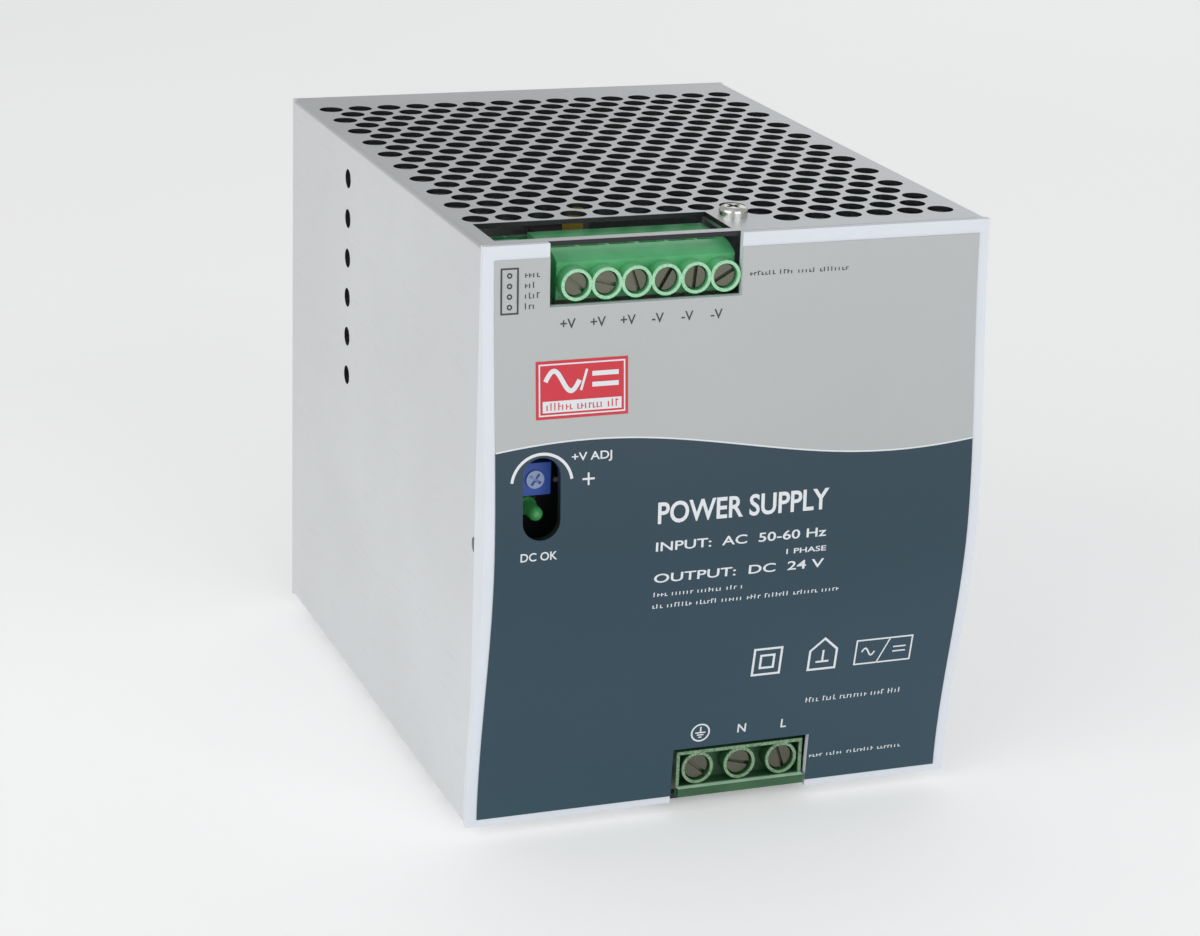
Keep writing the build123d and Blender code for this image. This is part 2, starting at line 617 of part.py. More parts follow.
def terminal_body(clamp, wire_side, low):
    """Housing: ring-shaped screw guides, a rounded shoulder, wire wells and pockets for the cages."""
    first, last = clamp.centres()[0], clamp.centres()[-1]
    ends = (first - clamp.pitch / 2, last + clamp.pitch / 2)
    face = clamp.seat + 0.4
    shoulder = clamp.bar_back - 0.6
    rise = wire_side - clamp.lip
    outline = [
        (face, -clamp.lip), (face, clamp.lip), (shoulder, wire_side), (clamp.board, wire_side),
        (clamp.board, -low), (shoulder, -low), (shoulder, -clamp.lip),
    ]
    points = []
    for v, w in outline:
        points.append(Vector(0, clamp.ring_depth + v, clamp.axis_height + clamp.up * w))
    bulge = 0.18 * rise
    middle = Vector(
        0,
        clamp.ring_depth + (face + shoulder) / 2 - bulge,
        clamp.axis_height + clamp.up * ((clamp.lip + wire_side) / 2 + bulge),
    )
    edges = [Edge.make_line(points[0], points[1])]
    edges.append(Edge.make_three_point_arc(points[1], middle, points[2]))
    edges += [Edge.make_line(a, b) for a, b in zip(points[2:], points[3:] + points[:1])]
    body = spot(ends[0], 0, 0) * Solid.extrude(Face(Wire(edges)), Vector(ends[1] - ends[0], 0, 0))
    for x in clamp.centres():
        body += rod(x, clamp.depths(0, face + 0.5), clamp.axis_height, clamp.ring)
    for x in clamp.centres():
        body -= rod(x, clamp.depths(-1, clamp.seat), clamp.axis_height, clamp.bore)
        through = clamp.depths(0, clamp.pocket_front + 1)
        body -= rod(x, through, clamp.axis_height, clamp.thread / 2 + THREAD_GAP)
        pocket = (x - clamp.pocket_half, x + clamp.pocket_half)
        tall = (-clamp.pocket_tall, clamp.pocket_tall)
        body -= clamp.part(pocket, (clamp.pocket_front, clamp.pocket_back), tall)
        well = (clamp.bar_front, clamp.cage_rear + 0.1)
        body -= clamp.part(pocket, well, (0, wire_side + 1))
        bar = (x - contact_half(clamp), x + contact_half(clamp))
        body -= clamp.part(bar, (clamp.bar_front, clamp.bar_back), (-low - 1, 0))
        body -= clamp.part(bar, (clamp.bar_front, clamp.board + 1), (-low - 1, -low + sum(CONTACT_FOOT)))
    return body


def input_body():
    """The input housing: as the output's, with a thin frame round the rings and a ledge under them."""
    body = terminal_body(INPUT, IN_WIRE_SIDE, IN_LOW)
    centres = INPUT.centres()
    ends = (centres[0] - IN_PITCH / 2, centres[-1] + IN_PITCH / 2)
    depth = (0, INPUT.seat + 1)
    body += INPUT.part(ends, depth, (-INPUT.lip, -INPUT.lip + IN_FRAME))
    for x, away in ((ends[0], 1), (ends[1], -1)):
        body += INPUT.part((x, x + away * IN_FRAME), depth, (-INPUT.lip, INPUT.lip))
    out, thick = IN_LEDGE
    edge = INPUT.axis_height - SHEET - LEDGE_GAP
    body += INPUT.part(ends, (-out, INPUT.seat + 1), (edge - thick, edge))
    return body


def contact_half(clamp):
    """Half the width of a contact bar, inside the cage's side walls."""
    return clamp.cage_half - CAGE_WALL - BAR_GAP


def contacts(clamp, low):
    """Fixed contact bars: through the cage, down in the housing and back to the board."""
    lift, thick = CONTACT_FOOT
    half = contact_half(clamp)
    bars = []
    for x in clamp.centres():
        span = (x - half, x + half)
        bar = clamp.part(span, (clamp.bar_front, clamp.bar_back), (-low + lift, clamp.cage_tall))
        foot = clamp.part(span, (clamp.bar_front, clamp.board), (-low + lift, -low + lift + thick))
        bars.append(bar + foot)
    return bars


def clamp_screw(clamp, x, turn):
    """Slotted clamp screw: head in the ring, tip against the contact bar, tapered over its last thread."""
    height = clamp.axis_height
    head = (HEAD_RECESS, HEAD_RECESS + HEAD_THICKNESS)
    screw = rod(x, clamp.depths(*head), height, clamp.head)
    tip = clamp.bar_front - THREAD_GAP
    screw += rod(x, clamp.depths(head[1] - 0.1, tip - clamp.lead), height, clamp.thread / 2)
    point = Cone((clamp.thread - clamp.lead) / 2, clamp.thread / 2, clamp.lead)
    screw += spot(x, clamp.ring_depth + tip - clamp.lead / 2, height) * Rot(90, 0, 0) * point
    middle = clamp.ring_depth + HEAD_RECESS
    slot = Box(2 * clamp.head + 1, 2 * SLOT_DEPTH, SLOT_WIDTH)
    return screw - spot(x, middle, height) * Rot(0, turn, 0) * slot


def clamp_cage(clamp, x):
    """Rising cage: a loop round the contact bar with a threaded front wall, stored open."""
    outer = (x - clamp.cage_half, x + clamp.cage_half)
    tall = (-clamp.cage_tall, clamp.cage_tall)
    cage = clamp.part(outer, (clamp.cage_front, clamp.cage_back), tall)
    inner = (x - clamp.cage_half + CAGE_WALL, x + clamp.cage_half - CAGE_WALL)
    over = (-clamp.cage_tall - 1, clamp.cage_tall + 1)
    cage -= clamp.part(inner, (clamp.cage_front + CAGE_FRONT, clamp.cage_rear), over)
    through = clamp.depths(clamp.cage_front - 1, clamp.cage_front + CAGE_FRONT + 0.5)
    return cage - rod(x, through, clamp.axis_height, clamp.thread / 2 + THREAD_GAP)


# ---------------------------------------------------------------- signal header, adjuster, lamp
def signal_header():
    """Open-topped shroud of the four-pin signal header."""
    top = CASE_HEIGHT - SIGNAL_TOP_DROP
    low = top - SIGNAL_HEIGHT
    shroud = block(SIGNAL_X, SIGNAL_DEPTHS, (low, top))
    x = (SIGNAL_X[0] + SIGNAL_WALL, SIGNAL_X[1] - SIGNAL_WALL)
    d = (SIGNAL_DEPTHS[0] + SIGNAL_WALL, SIGNAL_DEPTHS[1] - SIGNAL_WALL)
    shroud -= block(x, d, (low + SIGNAL_FLOOR, top + 1))
    rear = OUT_RING_DEPTH + TERMINAL_DEPTH
    shroud += block((SIGNAL_X[0] + 1, SIGNAL_X[1] - 1), (SIGNAL_DEPTHS[1], rear), (low, low + 4.0))
    slot = (SIGNAL_X[0] + 2.6, SIGNAL_X[1] - 2.6)
    shroud -= block(slot, (SIGNAL_DEPTHS[0] - 1, d[0] + 0.01), (top - 3.5, top + 1))
    for x, depth in signal_pin_places():
        half = PIN / 2
        shroud -= block((x - half, x + half), (depth - half, depth + half), (low - 1, low + SIGNAL_FLOOR + 1))
    return shroud


def signal_pin_places():
    x = sum(SIGNAL_X) / 2
    middle = sum(SIGNAL_DEPTHS) / 2
    first = middle - SIGNAL_PITCH * (SIGNAL_PINS - 1) / 2
    return [(x, first + i * SIGNAL_PITCH) for i in range(SIGNAL_PINS)]


def signal_pins():
    top = CASE_HEIGHT - SIGNAL_TOP_DROP
    low = top - SIGNAL_HEIGHT
    half = PIN / 2
    return [
        block((x - half, x + half), (d - half, d + half), (low - 1.5, top - 1.8))
        for x, d in signal_pin_places()
    ]


def trimmer_body():
    half = TRIMMER_SIZE / 2
    body = block(
        (TRIMMER_X - half, TRIMMER_X + half),
        (TRIMMER_FACE, TRIMMER_FACE + TRIMMER_DEPTH),
        (TRIMMER_HEIGHT - half, TRIMMER_HEIGHT + half),
    )
    seat = (TRIMMER_FACE - 1, TRIMMER_FACE + ROTOR_SEAT)
    return body - rod(TRIMMER_X, seat, TRIMMER_HEIGHT, ROTOR_DIAMETER / 2 + ROTOR_GAP)


def trimmer_rotor():
    """Screwdriver-adjusted disc with a cross slot; the arrow-like nick shows its setting."""
    span = (TRIMMER_FACE - ROTOR_PROUD, TRIMMER_FACE + ROTOR_SEAT - 0.05)
    rotor = rod(TRIMMER_X, span, TRIMMER_HEIGHT, ROTOR_DIAMETER / 2)
    for width, tall in ((2.9, 0.6), (0.6, 2.9)):
        cut = Box(width, 1.6, tall)
        rotor -= spot(TRIMMER_X, span[0], TRIMMER_HEIGHT) * Rot(0, 35, 0) * cut
    return rotor


def status_led():
    """Round lamp with a domed tip and a flange."""
    radius = LED_DIAMETER / 2
    back = TRIMMER_FACE + TRIMMER_DEPTH
    lamp = rod(TRIMMER_X, (LED_TIP + radius, back), LED_HEIGHT, radius)
    lamp += spot(TRIMMER_X, LED_TIP + radius, LED_HEIGHT) * Sphere(radius)
    diameter, thick = LED_FLANGE
    return lamp + rod(TRIMMER_X, (back - thick, back), LED_HEIGHT, diameter / 2)


def indicator_board():
    wide, tall = INDICATOR_BOARD
    middle = (TRIMMER_HEIGHT + LED_HEIGHT) / 2
    back = TRIMMER_FACE + TRIMMER_DEPTH
    x = (TRIMMER_X - wide / 2 + 0.5, TRIMMER_X + wide / 2 + 0.5)
    return block(x, (back, back + BOARD), (middle - tall / 2, middle + tall / 2))


def indicator_spacers():
    """Two moulded pin strips between the small board and the front board."""
    wide, tall = INDICATOR_BOARD
    middle = (TRIMMER_HEIGHT + LED_HEIGHT) / 2
    front = TRIMMER_FACE + TRIMMER_DEPTH + BOARD
    rear = OUT_RING_DEPTH + TERMINAL_DEPTH
    strips = []
    for side in (-1, 1):
        height = middle + side * (tall / 2 - 2.5)
        x = (TRIMMER_X + 0.5 - wide * 0.4, TRIMMER_X + 0.5 + wide * 0.4)
        strips.append(block(x, (front, rear), (height - 1.25, height + 1.25)))
    return strips


# ---------------------------------------------------------------- boards
def front_board():
    depth = (FRONT_BOARD_DEPTH, FRONT_BOARD_DEPTH + BOARD)
    return block(FRONT_BOARD_X, depth, (BOARD_EDGE, BOARD_TOP))


def main_board():
    x = (BOARD_FACE, BOARD_FACE + BOARD)
    board = block(x, (MAIN_FRONT, MAIN_BACK), (BOARD_EDGE, BOARD_TOP))
    for depth, height in standoff_places():
        board -= rod((x[0] - 1, x[1] + 1), depth, height, M3 / 2)
    return board


def board_standoffs():
    """Hexagonal pillars between the right side and the main board, with a stud through the board."""
    pillars = []
    for depth, height in standoff_places():
        side = STANDOFF_DIAMETER / math.cos(math.radians(30)) / 2
        hexagon = extrude(RegularPolygon(side, 6), STANDOFF)
        pillar = spot(BOARD_FACE + BOARD, depth, height) * Rot(0, 90, 0) * hexagon
        bore = (CASE_WIDTH - SHEET - STANDOFF + 0.8, CASE_WIDTH)
        pillars.append(pillar - rod(bore, depth, height, M3 / 2))
    return pillars


def insulation_sheet():
    """Film on the right side's inner face, behind the main board."""
    x = (RIGHT_INNER - INSULATION, RIGHT_INNER)
    sheet = block(x, (MAIN_FRONT - 2, MAIN_BACK), (BOARD_EDGE - 1, BOARD_TOP + 1))
    for depth, height in standoff_places():
        hole = STANDOFF_DIAMETER / 2 / math.cos(math.radians(30)) + INSULATION_HOLE_GAP
        sheet -= rod((x[0] - 1, x[1] + 1), depth, height, hole)
    return sheet


def interboard_header():
    """Pin strip that joins the front board to the main board."""
    x = (FRONT_BOARD_X[1] - 6.0, FRONT_BOARD_X[1])
    strip = block(x, (FRONT_BOARD_DEPTH + BOARD, MAIN_FRONT + 6.0), (38.0, 78.0))
    return strip + block((x[1], BOARD_FACE), (MAIN_FRONT + 1.0, MAIN_FRONT + 6.0), (38.0, 78.0))


# ---------------------------------------------------------------- parts on the main board
def standing(tall, d, h):
    """A box standing on the main board: its height above the board, its depth and its height span."""
    return block((BOARD_FACE - tall, BOARD_FACE), d, h)


def transformer_places():
    """Depth and height of the transformer's middle, and the x of its core's foot."""
    depth, drop = TRANSFORMER
    return MAIN_FRONT + depth, BOARD_TOP - drop, BOARD_FACE - CORE_LIFT


def transformer_core():
    """Two ferrite E halves: outer legs, centre leg and yokes."""
    depth, height, foot = transformer_places()
    long, wide, tall = CORE_SIZE
    yoke = CORE_LEG / 2
    along = (depth - long / 2, depth + long / 2)
    core = block((foot - tall, foot), along, (height - wide / 4, height + wide / 4))
    for side in (-1, 1):
        window = sorted((depth + side * yoke, depth + side * (long / 2 - yoke)))
        core -= block((foot - tall + yoke, foot - yoke), window, (0, CASE_HEIGHT))
    return core


def transformer_winding():
    """Bobbin and taped winding round the centre leg, on feet that reach the board."""
    depth, height, foot = transformer_places()
    long, wide, tall = CORE_SIZE
    yoke = CORE_LEG / 2
    x = (foot - tall + yoke + WINDING_GAP, foot - yoke - WINDING_GAP)
    reach = long / 2 - yoke - WINDING_GAP
    up = wide / 4 + WINDING_OVERHANG
    coil = block(x, (depth - reach, depth + reach), (height - up, height + up))
    coil = fillet(coil.edges().filter_by(Axis.X), WINDING_OVERHANG / 2)
    half = (yoke + WINDING_GAP, wide / 4 + WINDING_GAP)
    leg = (depth - half[0], depth + half[0])
    coil -= block((x[0] - 1, x[1] + 1), leg, (height - half[1], height + half[1]))
    for side in (-1, 1):
        inner = height + side * (wide / 4 + WINDING_GAP)
        outer = height + side * (up - WINDING_OVERHANG / 3)
        coil += block((x[1] - 1, BOARD_FACE), (depth - reach + 3, depth + reach - 3), sorted((inner, outer)))
    return coil


def choke_sizes():
    """Each ring choke's depth, height, radii and the x span of its bare ring."""
    for depth, height, outer, inner, thick in CHOKES:
        near = BOARD_FACE - CHOKE_LIFT - WIRE_LAYER
        yield MAIN_FRONT + depth, BOARD_EDGE + height, outer, inner, (near - thick, near)


def choke_cores():
    rings = []
    for depth, height, outer, inner, x in choke_sizes():
        rings.append(rod(x, depth, height, outer) - rod((x[0] - 1, x[1] + 1), depth, height, inner))
    return rings


def choke_windings():
    """Two wound sectors on each ring, each with feet down to the board."""
    coils = []
    for depth, height, outer, inner, x in choke_sizes():
        core = rod(x, depth, height, outer) - rod((x[0] - 1, x[1] + 1), depth, height, inner)
        wound = (x[0] - WIRE_LAYER, x[1] + WIRE_LAYER)
        band = rod(wound, depth, height, outer + WIRE_LAYER) - core
        band -= rod((x[0] - 3, x[1] + 3), depth, height, inner - WIRE_LAYER)
        rise = 2 * outer * math.tan(math.radians(WINDING_ARC / 2))
        for side in (-1, 1):
            corners = [(0, 0), (side * 2 * outer, rise), (side * 2 * outer, -rise)]
            wedge = Face(Wire.make_polygon([Vector(0, d, h) for d, h in corners], close=True))
            reach = wound[1] - wound[0]
            coil = band & (spot(wound[0], depth, height) * Solid.extrude(wedge, Vector(reach, 0, 0)))
            middle = depth + side * (outer + inner) / 2
            foot_depth = (middle - 1.5, middle + 1.5)
            foot = block((wound[1] - 0.5, BOARD_FACE), foot_depth, (height - 1.0, height + 1.0))
            coils.append(coil + foot)
    return coils


def electrolytic(depth, height, radius, length):
    """A can standing on the board, with a rolled groove near its foot and a rounded top rim."""
    can = rod((BOARD_FACE - length, BOARD_FACE), depth, height, radius)
    can = fillet(can.edges().filter_by(GeomType.CIRCLE).sort_by(Axis.X)[:1], CAN_RIM)
    deep, wide, lift = CAN_GROOVE
    x = (BOARD_FACE - lift - wide, BOARD_FACE - lift)
    return can - (rod(x, depth, height, radius + 1) - rod(x, depth, height, radius - deep))


def bulk_capacitors():
    depth, drop, along, down, pitch, radius, length = BULK_CANS
    return [
        electrolytic(MAIN_BACK - depth - i * pitch, BOARD_TOP - drop - k * pitch, radius, length)
        for i in range(along)
        for k in range(down)
    ]


def output_capacitors():
    depth, drop, along, down, pitch, radius, length = OUTPUT_CANS
    return [
        electrolytic(MAIN_FRONT + depth + i * pitch, BOARD_TOP - drop - k * pitch, radius, length)
        for i in range(along)
        for k in range(down)
    ]


def on_board(depths, heights, tall):
    """A box on the main board, its spans from the board's front and bottom edges."""
    d = [MAIN_FRONT + v for v in depths]
    h = [BOARD_EDGE + v for v in heights]
    return block((BOARD_FACE - tall, BOARD_FACE), d, h)


def box_capacitors():
    return [on_board(*cap) for cap in BOX_CAPS]


def inrush_relay():
    return on_board(*RELAY)


def line_fuse():
    """Cartridge fuse lying up the board, its two end caps in clips that stand on the board."""
    back, low, radius, length = FUSE
    depth = MAIN_BACK - back
    height = BOARD_EDGE + low
    x = BOARD_FACE - 2 * radius
    fuse = rod(x, depth, (height + 1, height + length - 1), radius - 0.5)
    for end in (height, height + length - FUSE_CAP):
        fuse += rod(x, depth, (end, end + FUSE_CAP), radius)
        across = (depth - radius / 2, depth + radius / 2)
        fuse += block((x, BOARD_FACE), across, (end + 1, end + FUSE_CAP - 1))
    return fuse


def sink_places():
    """Depth of each heatsink's front face, its height span and its height above the board."""
    back, low, high, tall = PRIMARY_SINK
    yield MAIN_BACK - back, (BOARD_EDGE + low, BOARD_EDGE + high), tall
    front, high, low, tall = SECONDARY_SINK
    yield MAIN_FRONT + front + PACKAGE[1], (BOARD_TOP - low, BOARD_TOP - high), tall


def heatsinks():
    """Aluminium angle plates standing on the main board."""
    plates = []
    for depth, heights, tall in sink_places():
        plate = block((BOARD_FACE - tall, BOARD_FACE), (depth, depth + SINK_PLATE), heights)
        foot = block((BOARD_FACE - SINK_PLATE, BOARD_FACE), (depth, depth + SINK_FOOT), heights)
        plates.append(plate + foot)
    return plates


def power_semiconductors():
    """Flat transistor and rectifier packages against the heatsinks, on three leads each."""
    wide, thick, tall = PACKAGE
    spacing, lead_width, lead_thick = PACKAGE_LEADS
    x = (BOARD_FACE - PACKAGE_LIFT - tall, BOARD_FACE - PACKAGE_LIFT)
    packages = []
    for depth, (low, high), _ in sink_places():
        count = int((high - low) // (wide + 3))
        for i in range(count):
            middle = low + (i + 0.5) * (high - low) / count
            package = block(x, (depth - thick, depth), (middle - wide / 2, middle + wide / 2))
            for lead in (-spacing, 0.0, spacing):
                at = (middle + lead - lead_width / 2, middle + lead + lead_width / 2)
                rear = depth - thick / 2
                package += block((x[1] - 0.2, BOARD_FACE), (rear - lead_thick, rear), at)
            packages.append(package)
    return packages


def output_busbars():
    """Copper straps from the front board's rear face along and down to the main board."""
    thick, wide = BUSBAR
    straps = []
    rear = FRONT_BOARD_DEPTH + BOARD
    for drop in BUSBAR_DROPS:
        h = (BOARD_TOP - drop - wide, BOARD_TOP - drop)
        strap = block((OUT_FIRST_X, BOARD_FACE - 4.0), (rear, rear + thick), h)
        strap += block((BOARD_FACE - 4.0 - thick, BOARD_FACE - 4.0), (rear, MAIN_FRONT + 2.5), h)
        foot_depth = (MAIN_FRONT + 1.0, MAIN_FRONT + 2.5)
        straps.append(strap + block((BOARD_FACE - 4.0 - thick, BOARD_FACE), foot_depth, h))
    return straps


# ---------------------------------------------------------------- rail clip, in row coordinates
HALF_RAIL = RAIL_HEIGHT / 2
LIP_INNER = HALF_RAIL + RAIL_EDGE_GAP             # hooks' faces beyond the rail's edges
CLIP_TOP = LIP_INNER + CLIP_SHEET + CLIP_ABOVE_HOOKS
HOOK_END = RAIL_FLANGE_GAP + CLIP_SHEET           # how far the hooks stand out behind the seat
SLIDER_Y = (-CLIP_SHEET - SLIDER_BACK - CLIP_SHEET, -CLIP_SHEET - SLIDER_BACK)
SPRING_Y = -CLIP_SHEET - SLIDER_GAP - SPRING_DIAMETER / 2


def bar(x, y, z):
    """A box between pairs of row coordinates, given in either order."""
    size = [abs(b - a) for a, b in (x, y, z)]
    return Pos(*[(a + b) / 2 for a, b in (x, y, z)]) * Box(*size)


def rail_bracket():
    """Hat-shaped bracket: feet on the back panel and a raised bridge whose outer face seats on the rail."""
    half = CLIP_WIDTH / 2
    span = (CLIP_BOTTOM, CLIP_TOP)
    bracket = bar((-half, half), (-CLIP_SHEET, 0), span)
    for side in (-1, 1):
        bracket += bar((side * half, side * (half - CLIP_SHEET)), (BACK_Y, 0), span)
        bracket += bar((side * half, side * (half + CLIP_FOOT)), (BACK_Y, BACK_Y + CLIP_SHEET), span)
        guide = (side * (half - CLIP_SHEET), side * (half - 3 * CLIP_SHEET))
        behind = SLIDER_Y[0] - SLIDER_GAP
        for z in ((CLIP_BOTTOM + 6, CLIP_BOTTOM + 16), (-8, 4)):
            bracket += bar(guide, (behind - CLIP_SHEET, behind), z)
        hook = [side * x for x in HOOK_X]
        lanced = (side * (HOOK_X[0] - HOOK_SLIT), side * (HOOK_X[1] + HOOK_SLIT))
        bracket -= bar(lanced, (-2 * CLIP_SHEET, 1), (LIP_INNER - HOOK_END - HOOK_REACH, LIP_INNER))
        bracket += bar(hook, (-CLIP_SHEET, HOOK_END), (LIP_INNER, LIP_INNER + CLIP_SHEET))
        bracket += bar(hook, (RAIL_FLANGE_GAP, HOOK_END), (LIP_INNER - HOOK_REACH, LIP_INNER + CLIP_SHEET))
        stop_half = SPRING_STOP_WIDTH / 2
        stop = (side * SPRING_X - stop_half, side * SPRING_X + stop_half)
        lance = (SPRING_FOOT, SPRING_FOOT + SPRING_DIAMETER)
        bracket -= bar(stop, (-2 * CLIP_SHEET, 1), lance)
        bracket += bar(stop, (SPRING_Y - SPRING_DIAMETER / 2, 0), (SPRING_FOOT - SPRING_STOP, SPRING_FOOT))
    lip = SLIDER_LIP / 2 + SLIDER_GAP
    arm = (-LIP_INNER - CLIP_SHEET - SLIDER_TRAVEL - STOP_GAP, -LIP_INNER + HOOK_REACH + HOOK_SLIT)
    bracket -= bar((-lip, lip), (-2 * CLIP_SHEET, 1), arm)
    for x, height in bracket_screw_places():
        centre = spot(x, BACK_DEPTH + CLIP_SHEET / 2, height)
        bracket -= centre * Rot(90, 0, 0) * Cylinder(CLEARANCE_HOLE / 2, 2 * CLIP_SHEET)
    return bracket


def bracket_screws():
    screws = []
    for x, height in bracket_screw_places():
        seat = spot(x, BACK_DEPTH + CLIP_SHEET, height)
        screws.append(seat * Rot(-90, 0, 15) * pan_screw(CLIP_SHEET + 2 * SHEET))
    return screws


def latch_slider():
    """Sprung slider: guided plate, lip under the rail's lower flange, spring windows and a pull tab."""
    half = CLIP_WIDTH / 2 - CLIP_SHEET - SLIDER_GAP
    slider = bar((-half, half), SLIDER_Y, (SLIDER_BOTTOM, SLIDER_TOP))
    slider += bar((-TAB_WIDTH / 2, TAB_WIDTH / 2), SLIDER_Y, (TAB_END, SLIDER_BOTTOM))
    slider += bar((-TAB_WIDTH / 2, TAB_WIDTH / 2), (SLIDER_Y[0], 0), (TAB_END, TAB_END + CLIP_SHEET))
    lip = SLIDER_LIP / 2
    low = -LIP_INNER - CLIP_SHEET
    slider += bar((-lip, lip), (SLIDER_Y[0], HOOK_END), (low, -LIP_INNER))
    claw = (RAIL_FLANGE_GAP, HOOK_END)
    slider += bar((-lip, lip), claw, (low, -LIP_INNER + HOOK_REACH))
    window_half = SPRING_STOP_WIDTH / 2 + SPRING_WINDOW_GAP
    foot = SPRING_FOOT - SPRING_STOP - SPRING_WINDOW_GAP
    for side in (-1, 1):
        x = (side * SPRING_X - window_half, side * SPRING_X + window_half)
        slider -= bar(x, (SLIDER_Y[0] - 1, SLIDER_Y[1] + 0.5), (foot, SPRING_HEAD))
    slot = TAB_SLOT
    middle = TAB_END + CLIP_SHEET + 3.0 + slot[1] / 2
    through = (SLIDER_Y[0] - 1, SLIDER_Y[1] + 1)
    slider -= bar((-slot[0] / 2, slot[0] / 2), through, (middle - slot[1] / 2, middle + slot[1] / 2))
    return slider


def latch_springs():
    """The two coil springs as tubes of their outer and inner diameter, between stop and window."""
    tubes = []
    length = SPRING_HEAD - SPRING_FOOT
    for side in (-1, 1):
        middle = Pos(side * SPRING_X, SPRING_Y, (SPRING_HEAD + SPRING_FOOT) / 2)
        tubes.append(middle * (Cylinder(SPRING_DIAMETER / 2, length) - Cylinder(SPRING_BORE / 2, length)))
    return tubes


# ---------------------------------------------------------------- assembly
def nodes():
    """Every node's name and its solid or group of solids."""
    top_screw = (TOP_SCREW_X, TOP_SCREW_DEPTH)
    bottom_screw = (BOTTOM_SCREW_X, TOP_SCREW_DEPTH)
    yield "left_cover", left_cover()
    yield "chassis", chassis()
    yield "top_grille", grille(CASE_HEIGHT - SHEET, SEAM, OUT_WINDOW_X, top_screw)
    yield "bottom_grille", grille(0.0, SEAM_SETBACK, IN_WINDOW_X, bottom_screw)
    yield "front_bezel", front_bezel()
    printed = film()
    yield "front_film_upper", printed & wave_region(True)
    yield "front_film_lower", printed & wave_region(False)
    yield "sheet_brackets", sheet_brackets()
    yield "case_screws", case_screws()

    yield "output_terminal_body", terminal_body(OUTPUT, OUT_WIRE_SIDE, OUT_LOW)
    yield "input_terminal_body", input_body()
    for name, clamp, low in (("output", OUTPUT, OUT_LOW), ("input", INPUT, IN_LOW)):
        yield name + "_contacts", contacts(clamp, low)
        for i, x in enumerate(clamp.centres()):
            yield f"{name}_screw_{i + 1}", clamp_screw(clamp, x, SCREW_TURNS[i])
            yield f"{name}_cage_{i + 1}", clamp_cage(clamp, x)

    yield "signal_header", signal_header()
    yield "signal_pins", signal_pins()
    yield "trimmer_body", trimmer_body()
    yield "trimmer_rotor", trimmer_rotor()
    yield "status_led", status_led()
    yield "indicator_board", indicator_board()
    yield "indicator_spacers", indicator_spacers()
    yield "front_board", front_board()
    yield "main_board", main_board()
    yield "board_standoffs", board_standoffs()
    yield "insulation_sheet", insulation_sheet()
    yield "interboard_header", interboard_header()

    yield "transformer_core", transformer_core()
    yield "transformer_winding", transformer_winding()
    yield "choke_cores", choke_cores()
    yield "choke_windings", choke_windings()
    yield "bulk_capacitors", bulk_capacitors()
    yield "output_capacitors", output_capacitors()
    yield "box_capacitors", box_capacitors()
    yield "inrush_relay", inrush_relay()
    yield "line_fuse", line_fuse()
    yield "heatsinks", heatsinks()
    yield "power_semiconductors", power_semiconductors()
    yield "output_busbars", output_busbars()

    yield "rail_bracket", rail_bracket()
    yield "bracket_screws", bracket_screws()
    yield "latch_slider", latch_slider()
    yield "latch_springs", latch_springs()


os.makedirs("parts", exist_ok=True)
for node_name, node_shape in nodes():
    write(node_name, node_shape)
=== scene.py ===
import json
import math
import random

import bmesh
import bpy
from mathutils import Matrix, Vector


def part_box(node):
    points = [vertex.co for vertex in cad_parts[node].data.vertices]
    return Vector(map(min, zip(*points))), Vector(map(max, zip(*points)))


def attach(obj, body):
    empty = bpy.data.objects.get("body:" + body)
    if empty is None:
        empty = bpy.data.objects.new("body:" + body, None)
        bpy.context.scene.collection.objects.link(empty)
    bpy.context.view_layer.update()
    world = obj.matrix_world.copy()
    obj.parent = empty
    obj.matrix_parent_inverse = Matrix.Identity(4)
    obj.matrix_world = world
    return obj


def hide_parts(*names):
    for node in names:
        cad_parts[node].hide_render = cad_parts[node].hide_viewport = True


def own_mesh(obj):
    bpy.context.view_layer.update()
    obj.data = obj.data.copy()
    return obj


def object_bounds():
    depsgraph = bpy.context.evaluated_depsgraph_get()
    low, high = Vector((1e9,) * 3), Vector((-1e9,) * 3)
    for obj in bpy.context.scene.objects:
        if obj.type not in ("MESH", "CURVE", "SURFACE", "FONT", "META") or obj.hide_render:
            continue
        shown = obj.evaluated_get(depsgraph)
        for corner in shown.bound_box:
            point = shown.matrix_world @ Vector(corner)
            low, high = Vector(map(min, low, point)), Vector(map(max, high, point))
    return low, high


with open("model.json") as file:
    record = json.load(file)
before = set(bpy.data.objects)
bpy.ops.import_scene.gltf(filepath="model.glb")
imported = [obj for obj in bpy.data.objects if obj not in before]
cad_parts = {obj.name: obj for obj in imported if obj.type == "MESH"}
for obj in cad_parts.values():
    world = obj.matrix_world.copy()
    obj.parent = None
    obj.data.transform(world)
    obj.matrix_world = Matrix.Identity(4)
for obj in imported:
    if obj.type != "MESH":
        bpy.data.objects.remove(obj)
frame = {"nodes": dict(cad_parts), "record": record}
CAD_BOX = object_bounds()

MM = 0.001

# ---------------- camera, light and floor
AIM = Vector((-1.6, -81.1, -10.5)) * MM  # a point in the middle of the unit
CAMERA_DISTANCE = 684.6 * MM
CAMERA_AZIMUTH = 20.86  # degrees to the left of straight in front
CAMERA_ELEVATION = 18.42
CAMERA_ROLL = 2.08
SENSOR_WIDTH = 36.0  # mm
FOCAL_LENGTH = 89.6  # mm

FLOOR_GAP = 0.4 * MM  # floor to the lowest point of the latch tab
FLOOR_SIZE = 12.0  # metres along each side
FLOOR_CUTS = 8  # cuts across it, each way

